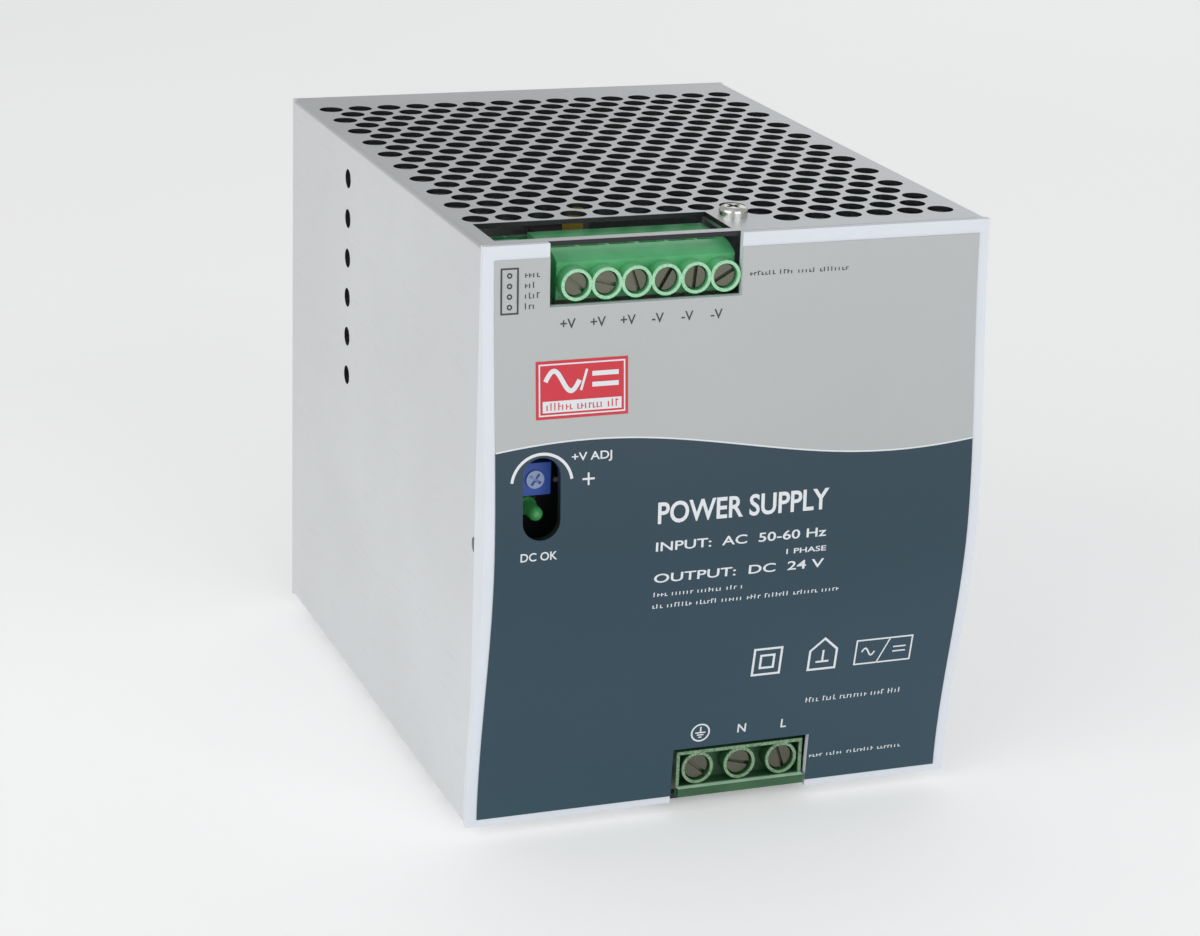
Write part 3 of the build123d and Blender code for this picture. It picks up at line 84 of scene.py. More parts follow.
# name, towards the light from the aim point, distance, width and height in metres, watts, colour
LIGHTS = (
    ("key_left", (-1.0, -0.45, 0.34), 1.5, 1.6, 1.5, 9.6, (1.0, 0.99, 0.97)),
    ("front_fill", (0.25, -1.0, 0.3), 1.6, 1.2, 1.0, 5.7, (0.97, 0.985, 1.0)),
    ("top_soft", (-0.3, -0.3, 1.0), 1.4, 1.1, 1.1, 0.7, (1.0, 1.0, 1.0)),
    ("back_rim", (0.8, 1.0, 0.6), 1.5, 0.8, 0.8, 1.0, (0.98, 0.99, 1.0)),
)
WORLD_COLOUR = (0.96, 0.97, 0.98, 1.0)
WORLD_STRENGTH = 0.45


def look_from(azimuth, elevation, roll):
    """Rotation of a camera that looks at its aim from the left and above, turned about its own axis."""
    turn = Matrix.Rotation(math.radians(-azimuth), 3, "Z")
    tilt = Matrix.Rotation(math.radians(90 - elevation), 3, "X")
    return turn @ tilt @ Matrix.Rotation(math.radians(roll), 3, "Z")


def add_camera():
    data = bpy.data.cameras.new("camera")
    data.sensor_width = SENSOR_WIDTH
    data.lens = FOCAL_LENGTH
    camera = bpy.data.objects.new("camera", data)
    turn = look_from(CAMERA_AZIMUTH, CAMERA_ELEVATION, CAMERA_ROLL)
    place = AIM + turn @ Vector((0, 0, CAMERA_DISTANCE))
    camera.matrix_world = Matrix.Translation(place) @ turn.to_4x4()
    bpy.context.scene.collection.objects.link(camera)
    bpy.context.scene.camera = camera


def add_lights():
    for name, towards, distance, width, height, power, colour in LIGHTS:
        data = bpy.data.lights.new(name, "AREA")
        data.shape = "RECTANGLE"
        data.size, data.size_y = width, height
        data.energy = power
        data.color = colour
        light = bpy.data.objects.new(name, data)
        direction = Vector(towards).normalized()
        light.location = AIM + direction * distance
        light.rotation_euler = direction.to_track_quat("Z", "Y").to_euler()
        bpy.context.scene.collection.objects.link(light)
    world = bpy.data.worlds.new("studio")
    world.use_nodes = True
    background = world.node_tree.nodes["Background"]
    background.inputs["Color"].default_value = WORLD_COLOUR
    background.inputs["Strength"].default_value = WORLD_STRENGTH
    bpy.context.scene.world = world
    bpy.context.scene.view_settings.view_transform = "Standard"


# ---------------- materials
def lin(red, green, blue):
    """Linear colour of an sRGB colour given in 0 to 255."""
    shares = [c / 255 for c in (red, green, blue)]
    return (*[c / 12.92 if c <= 0.04045 else ((c + 0.055) / 1.055) ** 2.4 for c in shares], 1.0)


def scaled(colour, factor):
    return (*[min(1.0, c * factor) for c in colour[:3]], 1.0)


NOISE_SPAN = (0.3, 0.7)  # nearly all values of a noise lie between these


class Look:
    """One procedural material: a Principled shader with short ways to feed it."""

    def __init__(self, name, roughness, metallic=0.0, **constants):
        self.material = bpy.data.materials.new(name)
        self.material.use_nodes = True
        self.tree = self.material.node_tree
        self.shader = self.tree.nodes["Principled BSDF"]
        self.shader.inputs["Roughness"].default_value = roughness
        self.shader.inputs["Metallic"].default_value = metallic
        for socket, value in constants.items():
            self.shader.inputs[socket.replace("_", " ")].default_value = value
        self.where = self.node("ShaderNodeTexCoord").outputs["Object"]

    def node(self, kind, inputs=(), **settings):
        made = self.tree.nodes.new(kind)
        for key, value in settings.items():
            setattr(made, key, value)
        for key, value in dict(inputs).items():
            if isinstance(value, bpy.types.NodeSocket):
                self.tree.links.new(value, made.inputs[key])
            else:
                made.inputs[key].default_value = value
        return made

    def stretched(self, scale):
        """The object's coordinates in metres, scaled along each axis."""
        return self.node("ShaderNodeMapping", {"Vector": self.where, "Scale": scale}).outputs[0]

    def noise(self, scale, detail=3.0, stretch=None):
        where = self.stretched(stretch) if stretch else self.where
        inputs = {"Vector": where, "Scale": scale, "Detail": detail}
        return self.node("ShaderNodeTexNoise", inputs).outputs["Fac"]

    def cells(self, scale, feature="F1", output="Distance", stretch=None):
        where = self.stretched(stretch) if stretch else self.where
        made = self.node("ShaderNodeTexVoronoi", {"Vector": where, "Scale": scale}, feature=feature)
        return made.outputs[output]

    def span(self, value, low, high, to_low=0.0, to_high=1.0):
        """The value's part between low and high, clamped and mapped to another pair."""
        inputs = {"Value": value, "From Min": low, "From Max": high, "To Min": to_low, "To Max": to_high}
        return self.node("ShaderNodeMapRange", inputs, clamp=True).outputs["Result"]

    def axis(self, letter):
        return self.node("ShaderNodeSeparateXYZ", {"Vector": self.where}).outputs[letter]

    def apart(self, letter, value):
        """Distance from a plane across an axis."""
        return self.math("ABSOLUTE", self.math("SUBTRACT", self.axis(letter), value))

    def facing(self, letter):
        """How far the surface faces along an axis, from -1 to 1."""
        normal = self.node("ShaderNodeTexCoord").outputs["Normal"]
        return self.node("ShaderNodeSeparateXYZ", {"Vector": normal}).outputs[letter]

    def math(self, operation, a, b=0.0):
        return self.node("ShaderNodeMath", {0: a, 1: b}, operation=operation).outputs[0]

    def mix(self, share, a, b):
        return self.node("ShaderNodeMix", {0: share, 6: a, 7: b}, data_type="RGBA").outputs[2]

    def cloudy(self, cloud, dark, light):
        """A colour that wanders between two with a noise."""
        return self.mix(self.span(cloud, *NOISE_SPAN), dark, light)

    def colour(self, value):
        self.tree.links.new(value, self.shader.inputs["Base Color"])

    def rough(self, value):
        self.tree.links.new(value, self.shader.inputs["Roughness"])

    def rough_with(self, noise, low, high):
        """Roughness that wanders between two values with a noise."""
        self.rough(self.span(noise, *NOISE_SPAN, low, high))

    def bump(self, height, distance, strength=1.0):
        made = self.node("ShaderNodeBump", {"Height": height, "Distance": distance, "Strength": strength})
        self.tree.links.new(made.outputs["Normal"], self.shader.inputs["Normal"])


def plastic(name, colour, roughness=0.45, grain=2600.0, depth=0.012, variation=0.05, **constants):
    """Moulded plastic: a fine spark-eroded grain, slight flow clouds and uneven gloss."""
    look = Look(name, roughness, **constants)
    cloud = look.noise(45.0, 4.0)
    speck = look.noise(grain, 2.0)
    base = look.cloudy(cloud, scaled(colour, 1 - variation), scaled(colour, 1 + variation))
    look.colour(look.mix(look.span(speck, 0.62, 0.8, 0.0, 0.25), base, scaled(colour, 1.25)))
    look.rough_with(cloud, roughness - 0.06, roughness + 0.08)
    look.bump(speck, depth * MM, 0.6)
    return look


def bezel_plastic():
    """The front frame's pale plastic; the walls of the short tube behind the adjuster opening are painted
    near black, a painted shade inside the recess.
    """
    look = plastic("bezel_plastic", lin(222, 227, 234), 0.42, variation=0.02)
    base = look.shader.inputs["Base Color"].links[0].from_socket
    half_width, over, under = 5.4 * MM, 4.0 * MM, 10.0 * MM
    edge = 0.4 * MM  # over which the painted shade fades out
    low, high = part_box("trimmer_body")
    top, bottom = high.z + over, low.z - under
    near = look.span(look.apart("X", ((low + high) / 2).x), half_width, half_width + edge, 1.0, 0.0)
    above = look.span(look.axis("Z"), top, top + edge, 1.0, 0.0)
    below = look.span(look.axis("Z"), bottom - edge, bottom)
    share = look.math("MULTIPLY", near, look.math("MULTIPLY", above, below))
    # painted shade: near the adjuster opening the plastic is mixed to near black
    look.colour(look.mix(share, base, lin(20, 21, 24)))
    return look


def metal(name, colour, roughness=0.35, along=(1, 1, 1), grain=900.0, depth=0.006, variation=0.06,
          **constants):
    """Sheet or turned metal: a drawn grain along one axis, faint clouds and small scuffs."""
    look = Look(name, roughness, metallic=1.0, **constants)
    cloud = look.noise(30.0, 5.0)
    lines = look.noise(grain, 3.0, along)
    scuff = look.noise(240.0, 8.0, along)
    base = look.cloudy(cloud, scaled(colour, 1 - variation), scaled(colour, 1 + variation))
    look.colour(look.mix(look.span(scuff, 0.62, 0.75, 0.0, 0.35), base, scaled(colour, 0.78)))
    look.rough_with(lines, roughness - 0.08, roughness + 0.1)
    look.bump(lines, depth * MM, 0.5)
    return look


VENT_Y = -56.6 * MM  # the column of vent holes in the left side
VENT_REACH = 2.5 * MM  # the walls of those holes lie this close to it
VENT_FADE = 0.2 * MM
FOLD_Z = 58.0 * MM  # beyond this, up or down, come the side's folds, not holes
FOLD_FADE = 1.0 * MM


def aluminium_case(name, punched=None, column=None):
    """Bead-blasted, clear anodised sheet: nearly white, soft, with a fine rolled grain along the depth.

    punched names the axis that punched holes run along: their walls are painted near black, a painted shade
    inside the holes.
    column is the Y of the holes where there is only one row of them."""
    look = Look(name, 0.42, metallic=0.75)
    cloud = look.noise(14.0, 4.0)
    lines = look.noise(1500.0, 2.0, (1.0, 0.08, 1.0))
    pits = look.noise(5200.0, 2.0)
    base = look.cloudy(cloud, lin(214, 216, 218), lin(226, 228, 230))
    rolled = look.mix(look.span(lines, 0.55, 0.8, 0.0, 0.25), base, lin(200, 202, 205))
    if punched:
        flat = look.span(look.math("ABSOLUTE", look.facing(punched)), 0.4, 0.9)
        if column is not None:
            beside = look.span(look.apart("Y", column), VENT_REACH, VENT_REACH + VENT_FADE)
            fold = look.span(look.math("ABSOLUTE", look.axis("Z")), FOLD_Z, FOLD_Z + FOLD_FADE)
            flat = look.math("MAXIMUM", look.math("MAXIMUM", flat, beside), fold)
        # painted shade: the walls of the holes are mixed to near black
        rolled = look.mix(flat, lin(52, 53, 55), rolled)
    look.colour(rolled)
    look.rough_with(cloud, 0.38, 0.5)
    look.bump(look.math("ADD", lines, pits), 0.004 * MM, 0.5)
    return look


def zinc(name, colour, roughness):
    """Zinc-plated sheet steel with small spangles."""
    look = Look(name, roughness, metallic=1.0)
    spangle = look.cells(260.0, output="Color", stretch=(1.0, 0.7, 1.0))
    share = look.node("ShaderNodeSeparateXYZ", {"Vector": spangle}).outputs["X"]
    cloud = look.noise(60.0, 5.0)
    base = look.cloudy(cloud, scaled(colour, 0.86), scaled(colour, 1.06))
    look.colour(look.mix(look.span(share, 0.0, 1.0, 0.0, 0.3), base, scaled(colour, 1.2)))
    look.rough(look.span(share, 0.0, 1.0, roughness - 0.08, roughness + 0.1))
    look.bump(cloud, 0.01 * MM, 0.4)
    return look


def print_film(name, top, bottom, low, high, roughness):
    """Satin printed film: its colour changes over its height, with a fine screen texture."""
    look = Look(name, roughness, Coat_Weight=0.12, Coat_Roughness=0.3)
    share = look.span(look.axis("Z"), low, high)
    speck = look.noise(4200.0, 2.0)
    cloud = look.noise(26.0, 3.0)
    base = look.mix(share, bottom, top)
    tinted = look.mix(look.span(cloud, 0.35, 0.65, 0.0, 0.1), base, scaled(top, 0.8))
    look.colour(look.mix(look.span(speck, 0.6, 0.8, 0.0, 0.12), tinted, scaled(top, 1.5)))
    look.rough_with(cloud, roughness - 0.05, roughness + 0.06)
    look.bump(speck, 0.003 * MM, 0.5)
    return look


def terminal_green(name, face_y, dark, light, rim_highlight_colour, ledge=False):
    """Green polyamide, a little translucent: paler at the rims in the plane face_y, a painted highlight
    broken up by a speckle.

    With a ledge, what stands out in front of the rims is painted pale on top, a painted highlight."""
    look = Look(name, 0.36, Subsurface_Weight=0.12, Subsurface_Scale=0.0015, Coat_Weight=0.15)
    look.shader.inputs["Subsurface Radius"].default_value = (0.5, 1.0, 0.6)
    cloud = look.noise(120.0, 4.0)
    speck = look.noise(2400.0, 3.0)
    base = look.cloudy(cloud, dark, light)
    depth = look.axis("Y")
    rim = look.span(depth, face_y + 0.05 * MM, face_y + 0.5 * MM, 0.75, 0.0)
    # painted highlight: the rims are mixed towards a pale green
    rim_highlight = look.math("MULTIPLY", rim, look.span(speck, 0.25, 0.55))
    rim_highlight = look.math("MULTIPLY", rim_highlight, look.span(depth, face_y - 0.3 * MM, face_y - 0.2 * MM))
    rimmed = look.mix(rim_highlight, base, rim_highlight_colour)
    if ledge:
        proud = look.span(depth, face_y - 0.2 * MM, face_y - 0.1 * MM, 1.0, 0.0)
        # painted highlight on the upward faces of the ledge
        top_highlight = look.math("MULTIPLY", look.span(look.facing("Z"), 0.7, 0.9), proud)
        rimmed = look.mix(top_highlight, rimmed, lin(206, 242, 214))
    look.colour(rimmed)
    look.rough_with(cloud, 0.3, 0.42)
    look.bump(speck, 0.008 * MM, 0.5)
    return look


def circuit_board(name, dark, light, track):
    """Solder mask over copper: paler tracks, tinned pads and a slight weave."""
    look = Look(name, 0.32, Coat_Weight=0.3, Coat_Roughness=0.15)
    grid = {"Vector": look.stretched((0.0, 1.0, 1.0)), "Scale": 160.0, "Mortar Size": 0.055, "Bias": 0.0}
    tracks = look.node("ShaderNodeTexBrick", grid, offset=0.37, squash=1.6).outputs["Fac"]
    pads = look.cells(230.0)
    weave = look.noise(1900.0, 2.0)
    base = look.mix(look.noise(70.0, 3.0), dark, light)
    traced = look.mix(look.span(tracks, 0.4, 0.6, 0.0, 0.7), base, track)
    look.colour(look.mix(look.span(pads, 0.1, 0.16, 0.85, 0.0), traced, lin(196, 196, 188)))
    look.bump(look.math("ADD", tracks, weave), 0.02 * MM, 0.5)
    return look


def wound_tape():
    """Yellow polyester tape in overlapping turns round the coil former."""
    look = Look("winding_tape", 0.3, Coat_Weight=0.4, Coat_Roughness=0.12)
    bands = {"Vector": look.where, "Scale": 90.0, "Distortion": 0.6, "Detail": 2.0, "Detail Scale": 3.0}
    wave = look.node("ShaderNodeTexWave", bands, bands_direction="X").outputs["Fac"]
    wrinkle = look.noise(420.0, 4.0)
    base = look.mix(look.span(wave, 0.2, 0.9), lin(214, 186, 52), lin(240, 216, 92))
    look.colour(look.mix(look.span(wrinkle, 0.6, 0.8, 0.0, 0.4), base, lin(186, 150, 40)))
    look.bump(look.math("ADD", wave, wrinkle), 0.06 * MM, 0.6)
    return look


def can_sleeve(name, colour):
    """Shrink sleeve: satin, finely wrinkled, with a pale stripe along one side of each can."""
    look = Look(name, 0.28, Coat_Weight=0.3)
    spacing = 24.0 * MM  # stripe to stripe
    stripe = look.math("FRACT", look.math("MULTIPLY", look.axis("Z"), 1 / spacing))
    wrinkle = look.noise(300.0, 3.0, (0.2, 1.0, 1.0))
    base = look.mix(look.noise(60.0, 3.0), scaled(colour, 0.8), scaled(colour, 1.25))
    look.colour(look.mix(look.span(stripe, 0.86, 0.88, 0.0, 0.8), base, lin(170, 178, 190)))
    look.rough_with(wrinkle, 0.22, 0.4)
    look.bump(wrinkle, 0.03 * MM, 0.5)
    return look


def ferrite():
    """Sintered ferrite: matt, dark and slightly porous."""
    look = Look("ferrite_core", 0.62)
    pores = look.cells(1500.0)
    cloud = look.noise(90.0, 5.0)
    base = look.cloudy(cloud, lin(44, 44, 48), lin(66, 66, 70))
    look.colour(look.mix(look.span(pores, 0.0, 0.25, 0.6, 0.0), base, lin(22, 22, 24)))
    look.bump(pores, 0.03 * MM, 0.5)
    return look


def ink(name, colour):
    """Screen-printed ink with slightly uneven cover."""
    look = Look(name, 0.5)
    cover = look.noise(900.0, 4.0)
    look.colour(look.mix(look.span(cover, 0.3, 0.75, 0.0, 0.25), colour, scaled(colour, 0.85)))
    look.bump(cover, 0.004 * MM, 0.5)
    return look


def lamp_green():
    """Tinted epoxy lamp body."""
    glow = {"Emission_Color": lin(60, 150, 80), "Emission_Strength": 0.14}
    look = Look("led_epoxy", 0.12, Transmission_Weight=0.15, IOR=1.5, **glow)
    cloud = look.noise(300.0, 2.0)
    look.colour(look.mix(cloud, lin(48, 132, 68), lin(84, 176, 102)))
    return look


def floor_look():
    """Pale studio paper that gives off a little light, so that it comes out nearly white."""
    look = Look("floor_paper", 0.75, Emission_Color=lin(255, 255, 255), Emission_Strength=0.27)
    cloud = look.noise(3.0, 3.0)
    fibre = look.noise(900.0, 3.0)
    look.colour(look.mix(cloud, lin(246, 246, 246), lin(250, 250, 250)))
    look.bump(fibre, 0.02 * MM, 0.3)
    return look


FACE_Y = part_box("output_terminal_body")[0].y
LEDGE = 1.5 * MM  # the input block's ledge stands out this far before its rings
IN_FACE_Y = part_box("input_terminal_body")[0].y + LEDGE
LOWER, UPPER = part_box("front_film_lower"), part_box("front_film_upper")

LOOKS = {
    "case_sheet": aluminium_case("case_aluminium"),
    "bezel": bezel_plastic(),
    "film_upper": print_film("film_grey", lin(185, 187, 187), lin(181, 184, 183),
                             UPPER[0].z, UPPER[1].z, 0.42),
    "film_lower": print_film("film_slate", lin(14, 52, 69), lin(30, 66, 82),
                             LOWER[0].z, LOWER[1].z, 0.38),
    "zinc_steel": zinc("zinc_sheet", lin(186, 188, 188), 0.42),
    "screw_steel": metal("nickel_screw", lin(222, 220, 214), 0.2, grain=1400.0, variation=0.04),
    "terminal_green": terminal_green("terminal_green", FACE_Y, lin(84, 178, 116), lin(104, 198, 136),
                                     lin(188, 228, 196)),
    # painted shade: the plated clamp screws are given a dark greenish colour for the shade of their recesses
    "clamp_screw": metal("clamp_screw", lin(104, 105, 92), 0.3, (1.0, 0.2, 1.0), 2200.0, 0.01, 0.14),
    "clamp_cage": metal("clamp_cage", lin(190, 190, 182), 0.3, (1.0, 0.15, 1.0)),
    "tinned_copper": metal("tinned_copper", lin(206, 200, 184), 0.34, (1.0, 0.2, 1.0), variation=0.1),
    "trimmer_blue": plastic("trimmer_blue", lin(45, 86, 178), 0.4, variation=0.08),
    "rotor_white": plastic("rotor_white", lin(158, 176, 218), 0.35, variation=0.03),
    "led_green": lamp_green(),
    "board_green": circuit_board("board_mask", lin(20, 82, 52), lin(34, 104, 66), lin(58, 138, 88)),
    "black_plastic": plastic("black_plastic", lin(30, 30, 32), 0.42, variation=0.15),
    "insulation": plastic("insulation_film", lin(34, 34, 37), 0.3, grain=700.0, depth=0.02, variation=0.1),
    "ferrite": ferrite(),
    "winding_tape": wound_tape(),
    "copper_wire": metal("enamelled_wire", lin(196, 112, 62), 0.26, grain=1800.0, variation=0.16,
                         Coat_Weight=0.6),
    "can_sleeve": can_sleeve("can_black", lin(32, 32, 38)),
    "can_sleeve_2": can_sleeve("can_blue", lin(36, 52, 88)),
    "box_plastic": plastic("box_grey", lin(176, 172, 160), 0.5, variation=0.06),
    "relay_plastic": plastic("relay_white", lin(226, 226, 220), 0.42, variation=0.03),
    "fuse_ceramic": plastic("fuse_ceramic", lin(232, 226, 212), 0.3, grain=900.0, variation=0.04),
    "sink_aluminium": metal("sink_aluminium", lin(186, 188, 190), 0.36, (1.0, 1.0, 0.06), 1200.0),
    "clip_steel": zinc("clip_steel", lin(176, 178, 178), 0.36),
    "spring_steel": metal("spring_wire", lin(176, 176, 172), 0.28, grain=1500.0),
}
# The nodes that differ from the rest of their slot: painted shade on the hole walls, a darker green as
# painted shade on the input block, and a black solder mask
PUNCHED = aluminium_case("case_perforated", "Z")
OWN_LOOKS = {
    "top_grille": PUNCHED,
    "bottom_grille": PUNCHED,
    # painted shade: the input block is a darker copy of the output block's green
    "input_terminal_body": terminal_green("input_green_painted_shade", IN_FACE_Y, lin(36, 82, 48), lin(50, 100, 62),
                                          lin(150, 182, 146), ledge=True),
    "left_cover": aluminium_case("case_side", "X", VENT_Y),
    "indicator_board": circuit_board("black_mask", lin(12, 13, 16), lin(20, 21, 24), lin(30, 32, 36)),
}
INK_WHITE = ink("ink_white", lin(226, 230, 234))
INK_DARK = ink("ink_dark", lin(58, 60, 62))
INK_RED = ink("ink_red", lin(208, 44, 60))
ON_SLATE = (INK_WHITE, "film_lower")  # the ink and record slot of the print on each film
ON_GREY = (INK_DARK, "film_upper")


def dress_cad():
    """Every CAD node takes the procedural material of its record slot."""
    slots = {part["node"]: part["material_slot"] for part in frame["record"]["subparts"]}
    for name, node in frame["nodes"].items():
        node.data.materials.clear()
        look = OWN_LOOKS.get(name, LOOKS[slots[name]])
        node.data.materials.append(look.material)


# ---------------- mesh helpers
def piece(name, bm, body, looks):
    """A mesh piece in the row frame that rides on a body; its coordinates are already in metres."""
    data = bpy.data.meshes.new(name)
    bmesh.ops.recalc_face_normals(bm, faces=bm.faces)
    bm.to_mesh(data)
    bm.free()
    for look in looks:
        data.materials.append(look.material)
    made = bpy.data.objects.new(name, data)
    bpy.context.scene.collection.objects.link(made)
    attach(made, body)
    return made


def smooth(bm, limit=40.0):
    """Smooth shading except over edges sharper than the limit."""
    for face in bm.faces:
        face.smooth = True
    for edge in bm.edges:
        if len(edge.link_faces) == 2 and edge.calc_face_angle(0.0) > math.radians(limit):
            edge.smooth = False


def circle(centre, across, other, radius, sides):
    """Points of a circle in the plane of two unit vectors."""
    turns = [2 * math.pi * k / sides for k in range(sides)]
    return [centre + (across * math.cos(t) + other * math.sin(t)) * radius for t in turns]


def tube(bm, points, radius, sides=10, material=0):
    """A round wire along points, closed with a fan at both ends."""
    points = [Vector(p) for p in points]
    across = (points[1] - points[0]).orthogonal().normalized()
    rings = []
    for i, point in enumerate(points):
        ahead = (points[min(i + 1, len(points) - 1)] - points[max(i - 1, 0)]).normalized()
        across = (across - ahead * across.dot(ahead)).normalized()
        other = ahead.cross(across)
        rings.append([bm.verts.new(p) for p in circle(point, across, other, radius, sides)])
    made = [bm.faces.new(rings[0]), bm.faces.new(list(reversed(rings[-1])))]
    for low, high in zip(rings, rings[1:]):
        for k in range(sides):
            made.append(bm.faces.new((low[k], low[(k + 1) % sides], high[(k + 1) % sides], high[k])))
    for face in made:
        face.material_index = material


def lathe(bm, profile, base, axis, sides=20, materials=None):
    """A turned body: profile pairs of (distance along the axis, radius), the first and last on the axis."""
    axis = Vector(axis).normalized()
    across = axis.orthogonal().normalized()
    other = axis.cross(across)
    rings = []
    for along, radius in profile:
        centre = Vector(base) + axis * along
        if radius <= 0:
            rings.append([bm.verts.new(centre)])
            continue
        rings.append([bm.verts.new(p) for p in circle(centre, across, other, radius, sides)])
    for step, (low, high) in enumerate(zip(rings, rings[1:])):
        for k in range(sides):
            n = (k + 1) % sides
            corners = [low[0 if len(low) == 1 else k], low[0 if len(low) == 1 else n],
                       high[0 if len(high) == 1 else n], high[0 if len(high) == 1 else k]]
            face = bm.faces.new(list(dict.fromkeys(corners)))
            face.material_index = materials[step] if materials else 0


def bevelled_box(bm, low, high, bevel, material=0):
    """A box between two corners, with its edges rounded."""
    size = [b - a for a, b in zip(low, high)]
    middle = [(a + b) / 2 for a, b in zip(low, high)]
    made = bmesh.ops.create_cube(bm, size=1.0)["verts"]
    bmesh.ops.scale(bm, vec=size, verts=made)
    bmesh.ops.translate(bm, vec=middle, verts=made)
    edges = list({e for v in made for e in v.link_edges})
    faces = {f for v in made for f in v.link_faces}
    done = bmesh.ops.bevel(bm, geom=edges, offset=bevel, segments=2, profile=0.6, affect="EDGES")
    for face in faces.union(done["faces"]):
        if face.is_valid:
            face.material_index = material


def islands(node):
    """The separate solids of a CAD node, each as its list of points."""
    bm = bmesh.new()
    bm.from_mesh(frame["nodes"][node].data)
    bmesh.ops.remove_doubles(bm, verts=bm.verts, dist=0.001 * MM)
    left, found = set(bm.verts), []
    while left:
        group, edge_of = [], [left.pop()]
        while edge_of:
            vert = edge_of.pop()
            group.append(vert.co.copy())
            for edge in vert.link_edges:
                other = edge.other_vert(vert)
                if other in left:
                    left.remove(other)
                    edge_of.append(other)
        found.append(group)
    bm.free()
    return sorted(found, key=lambda g: tuple(round(c, 5) for c in span_of(g)[0]))


def span_of(points):
    """The lowest and the highest corner of the box round some points."""
    low = Vector([min(p[i] for p in points) for i in range(3)])
    high = Vector([max(p[i] for p in points) for i in range(3)])
    return low, high


# ---------------- printed front
# The print's places are in mm from the unit's left side and above its underside
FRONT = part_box("front_bezel")
FILM_PROBE = 100.0  # where the film is whole over its height
PROBE_START = 20.0 * MM  # how far in front of the film the rays that find it start
PROBE_REACH = 50.0 * MM  # how far they go
PRINT = 0.03  # mm, thickness of the ink
PRINT_GAP = 0.012  # mm, ink to the surface under it
SECOND_LAYER = PRINT + 2 * PRINT_GAP
MAX_STEP = 2.0  # mm between points, so that the ink follows the curved front


def film_profile():
    """Depth of the film's face at each mm of height: (height in mm, Y in metres), from the CAD film."""
    films = [frame["nodes"][name].data for name in ("front_film_lower", "front_film_upper")]
    start = min(v.co.y for film in films for v in film.vertices) - PROBE_START
    scene, graph = bpy.context.scene, bpy.context.evaluated_depsgraph_get()
    profile, height = [], 0.0
    top = (FRONT[1].z - FRONT[0].z) / MM
    while height < top:
        origin = Vector((FRONT[0].x + FILM_PROBE * MM, start, FRONT[0].z + height * MM))
        hit, place, *_ = scene.ray_cast(graph, origin, Vector((0, 1, 0)), distance=PROBE_REACH)
        if hit:
            profile.append((height, place.y))
        height += 1.0
    return profile


PROFILE = film_profile()


def front_y(height):
    """Y of the printed face, in metres, at a height of the print."""
    step = min(max(0, int(height - PROFILE[0][0])), len(PROFILE) - 2)
    (h0, y0), (h1, y1) = PROFILE[step], PROFILE[step + 1]
    return y0 + (y1 - y0) * (height - h0) / (h1 - h0)


def on_front(x, height, lift):
    """A point of the print, lifted by some mm in front of the film."""
    return Vector((FRONT[0].x + x * MM, front_y(height) - lift * MM, FRONT[0].z + height * MM))


def stroke(points, width, closed=False):
    """Quads of a line of a given width through points, with mitred corners."""
    count = len(points)
    left, right = [], []
    for i, (x, h) in enumerate(points):
        before = points[(i - 1) % count] if closed or i else None
        after = points[(i + 1) % count] if closed or i < count - 1 else None
        normals = []
        for a, b in ((before, (x, h)), ((x, h), after)):
            if a and b:
                length = math.hypot(b[0] - a[0], b[1] - a[1])
                normals.append((-(b[1] - a[1]) / length, (b[0] - a[0]) / length))
        nx, nh = [sum(n[k] for n in normals) / len(normals) for k in (0, 1)]
        size = nx * nx + nh * nh
        left.append((x + nx / size * width / 2, h + nh / size * width / 2))
        right.append((x - nx / size * width / 2, h - nh / size * width / 2))
    links = range(count if closed else count - 1)
    return [(left[i], left[(i + 1) % count], right[(i + 1) % count], right[i]) for i in links]


def ring(x, height, radius, width, start=0.0, end=360.0, step=10.0):
    """A line along a circle or an arc, with angles in degrees."""
    count = max(2, round(abs(end - start) / step))
    angles = [math.radians(start + (end - start) * k / count) for k in range(count + 1)]
    full = abs(end - start) >= 360
    points = [(x + radius * math.cos(a), height + radius * math.sin(a)) for a in angles]
    return stroke(points[:-1] if full else points, width, closed=full)


def rectangle(x0, h0, x1, h1):
    return (x0, h0), (x1, h0), (x1, h1), (x0, h1)


def frame_line(x0, h0, x1, h1, width):
    """The outline of a rectangle."""
    return stroke(rectangle(x0, h0, x1, h1), width, closed=True)


def sine(x, height, length, swing, steps):
    """Points of one full wave that starts at x."""
    return [(x + length * t / steps, height + swing * math.sin(2 * math.pi * t / steps))
            for t in range(steps + 1)]


def filled(x0, h0, x1, h1):
    """A rectangle in small squares, so that it can follow the front's curve."""
    across, up = (max(1, math.ceil(s / MAX_STEP)) for s in (x1 - x0, h1 - h0))
    xs = [x0 + (x1 - x0) * i / across for i in range(across + 1)]
    hs = [h0 + (h1 - h0) * j / up for j in range(up + 1)]
    return [rectangle(a, c, b, d) for a, b in zip(xs, xs[1:]) for c, d in zip(hs, hs[1:])]


def lay_print(name, polygons, look, slot, lift=PRINT_GAP):
    """Thin closed ink laid on the front, from flat polygons in mm."""
    bm = bmesh.new()
    for polygon in polygons:
        bm.faces.new([bm.verts.new((x, 0.0, h)) for x, h in polygon])
    bmesh.ops.remove_doubles(bm, verts=bm.verts, dist=0.001)
    thick = bmesh.ops.extrude_face_region(bm, geom=bm.faces[:])["geom"]
    for vert in thick:
        if isinstance(vert, bmesh.types.BMVert):
            vert.co.y = -PRINT
    for vert in bm.verts:
        vert.co = on_front(vert.co.x, vert.co.z, lift - vert.co.y)
    return piece(name, bm, "case", [look])


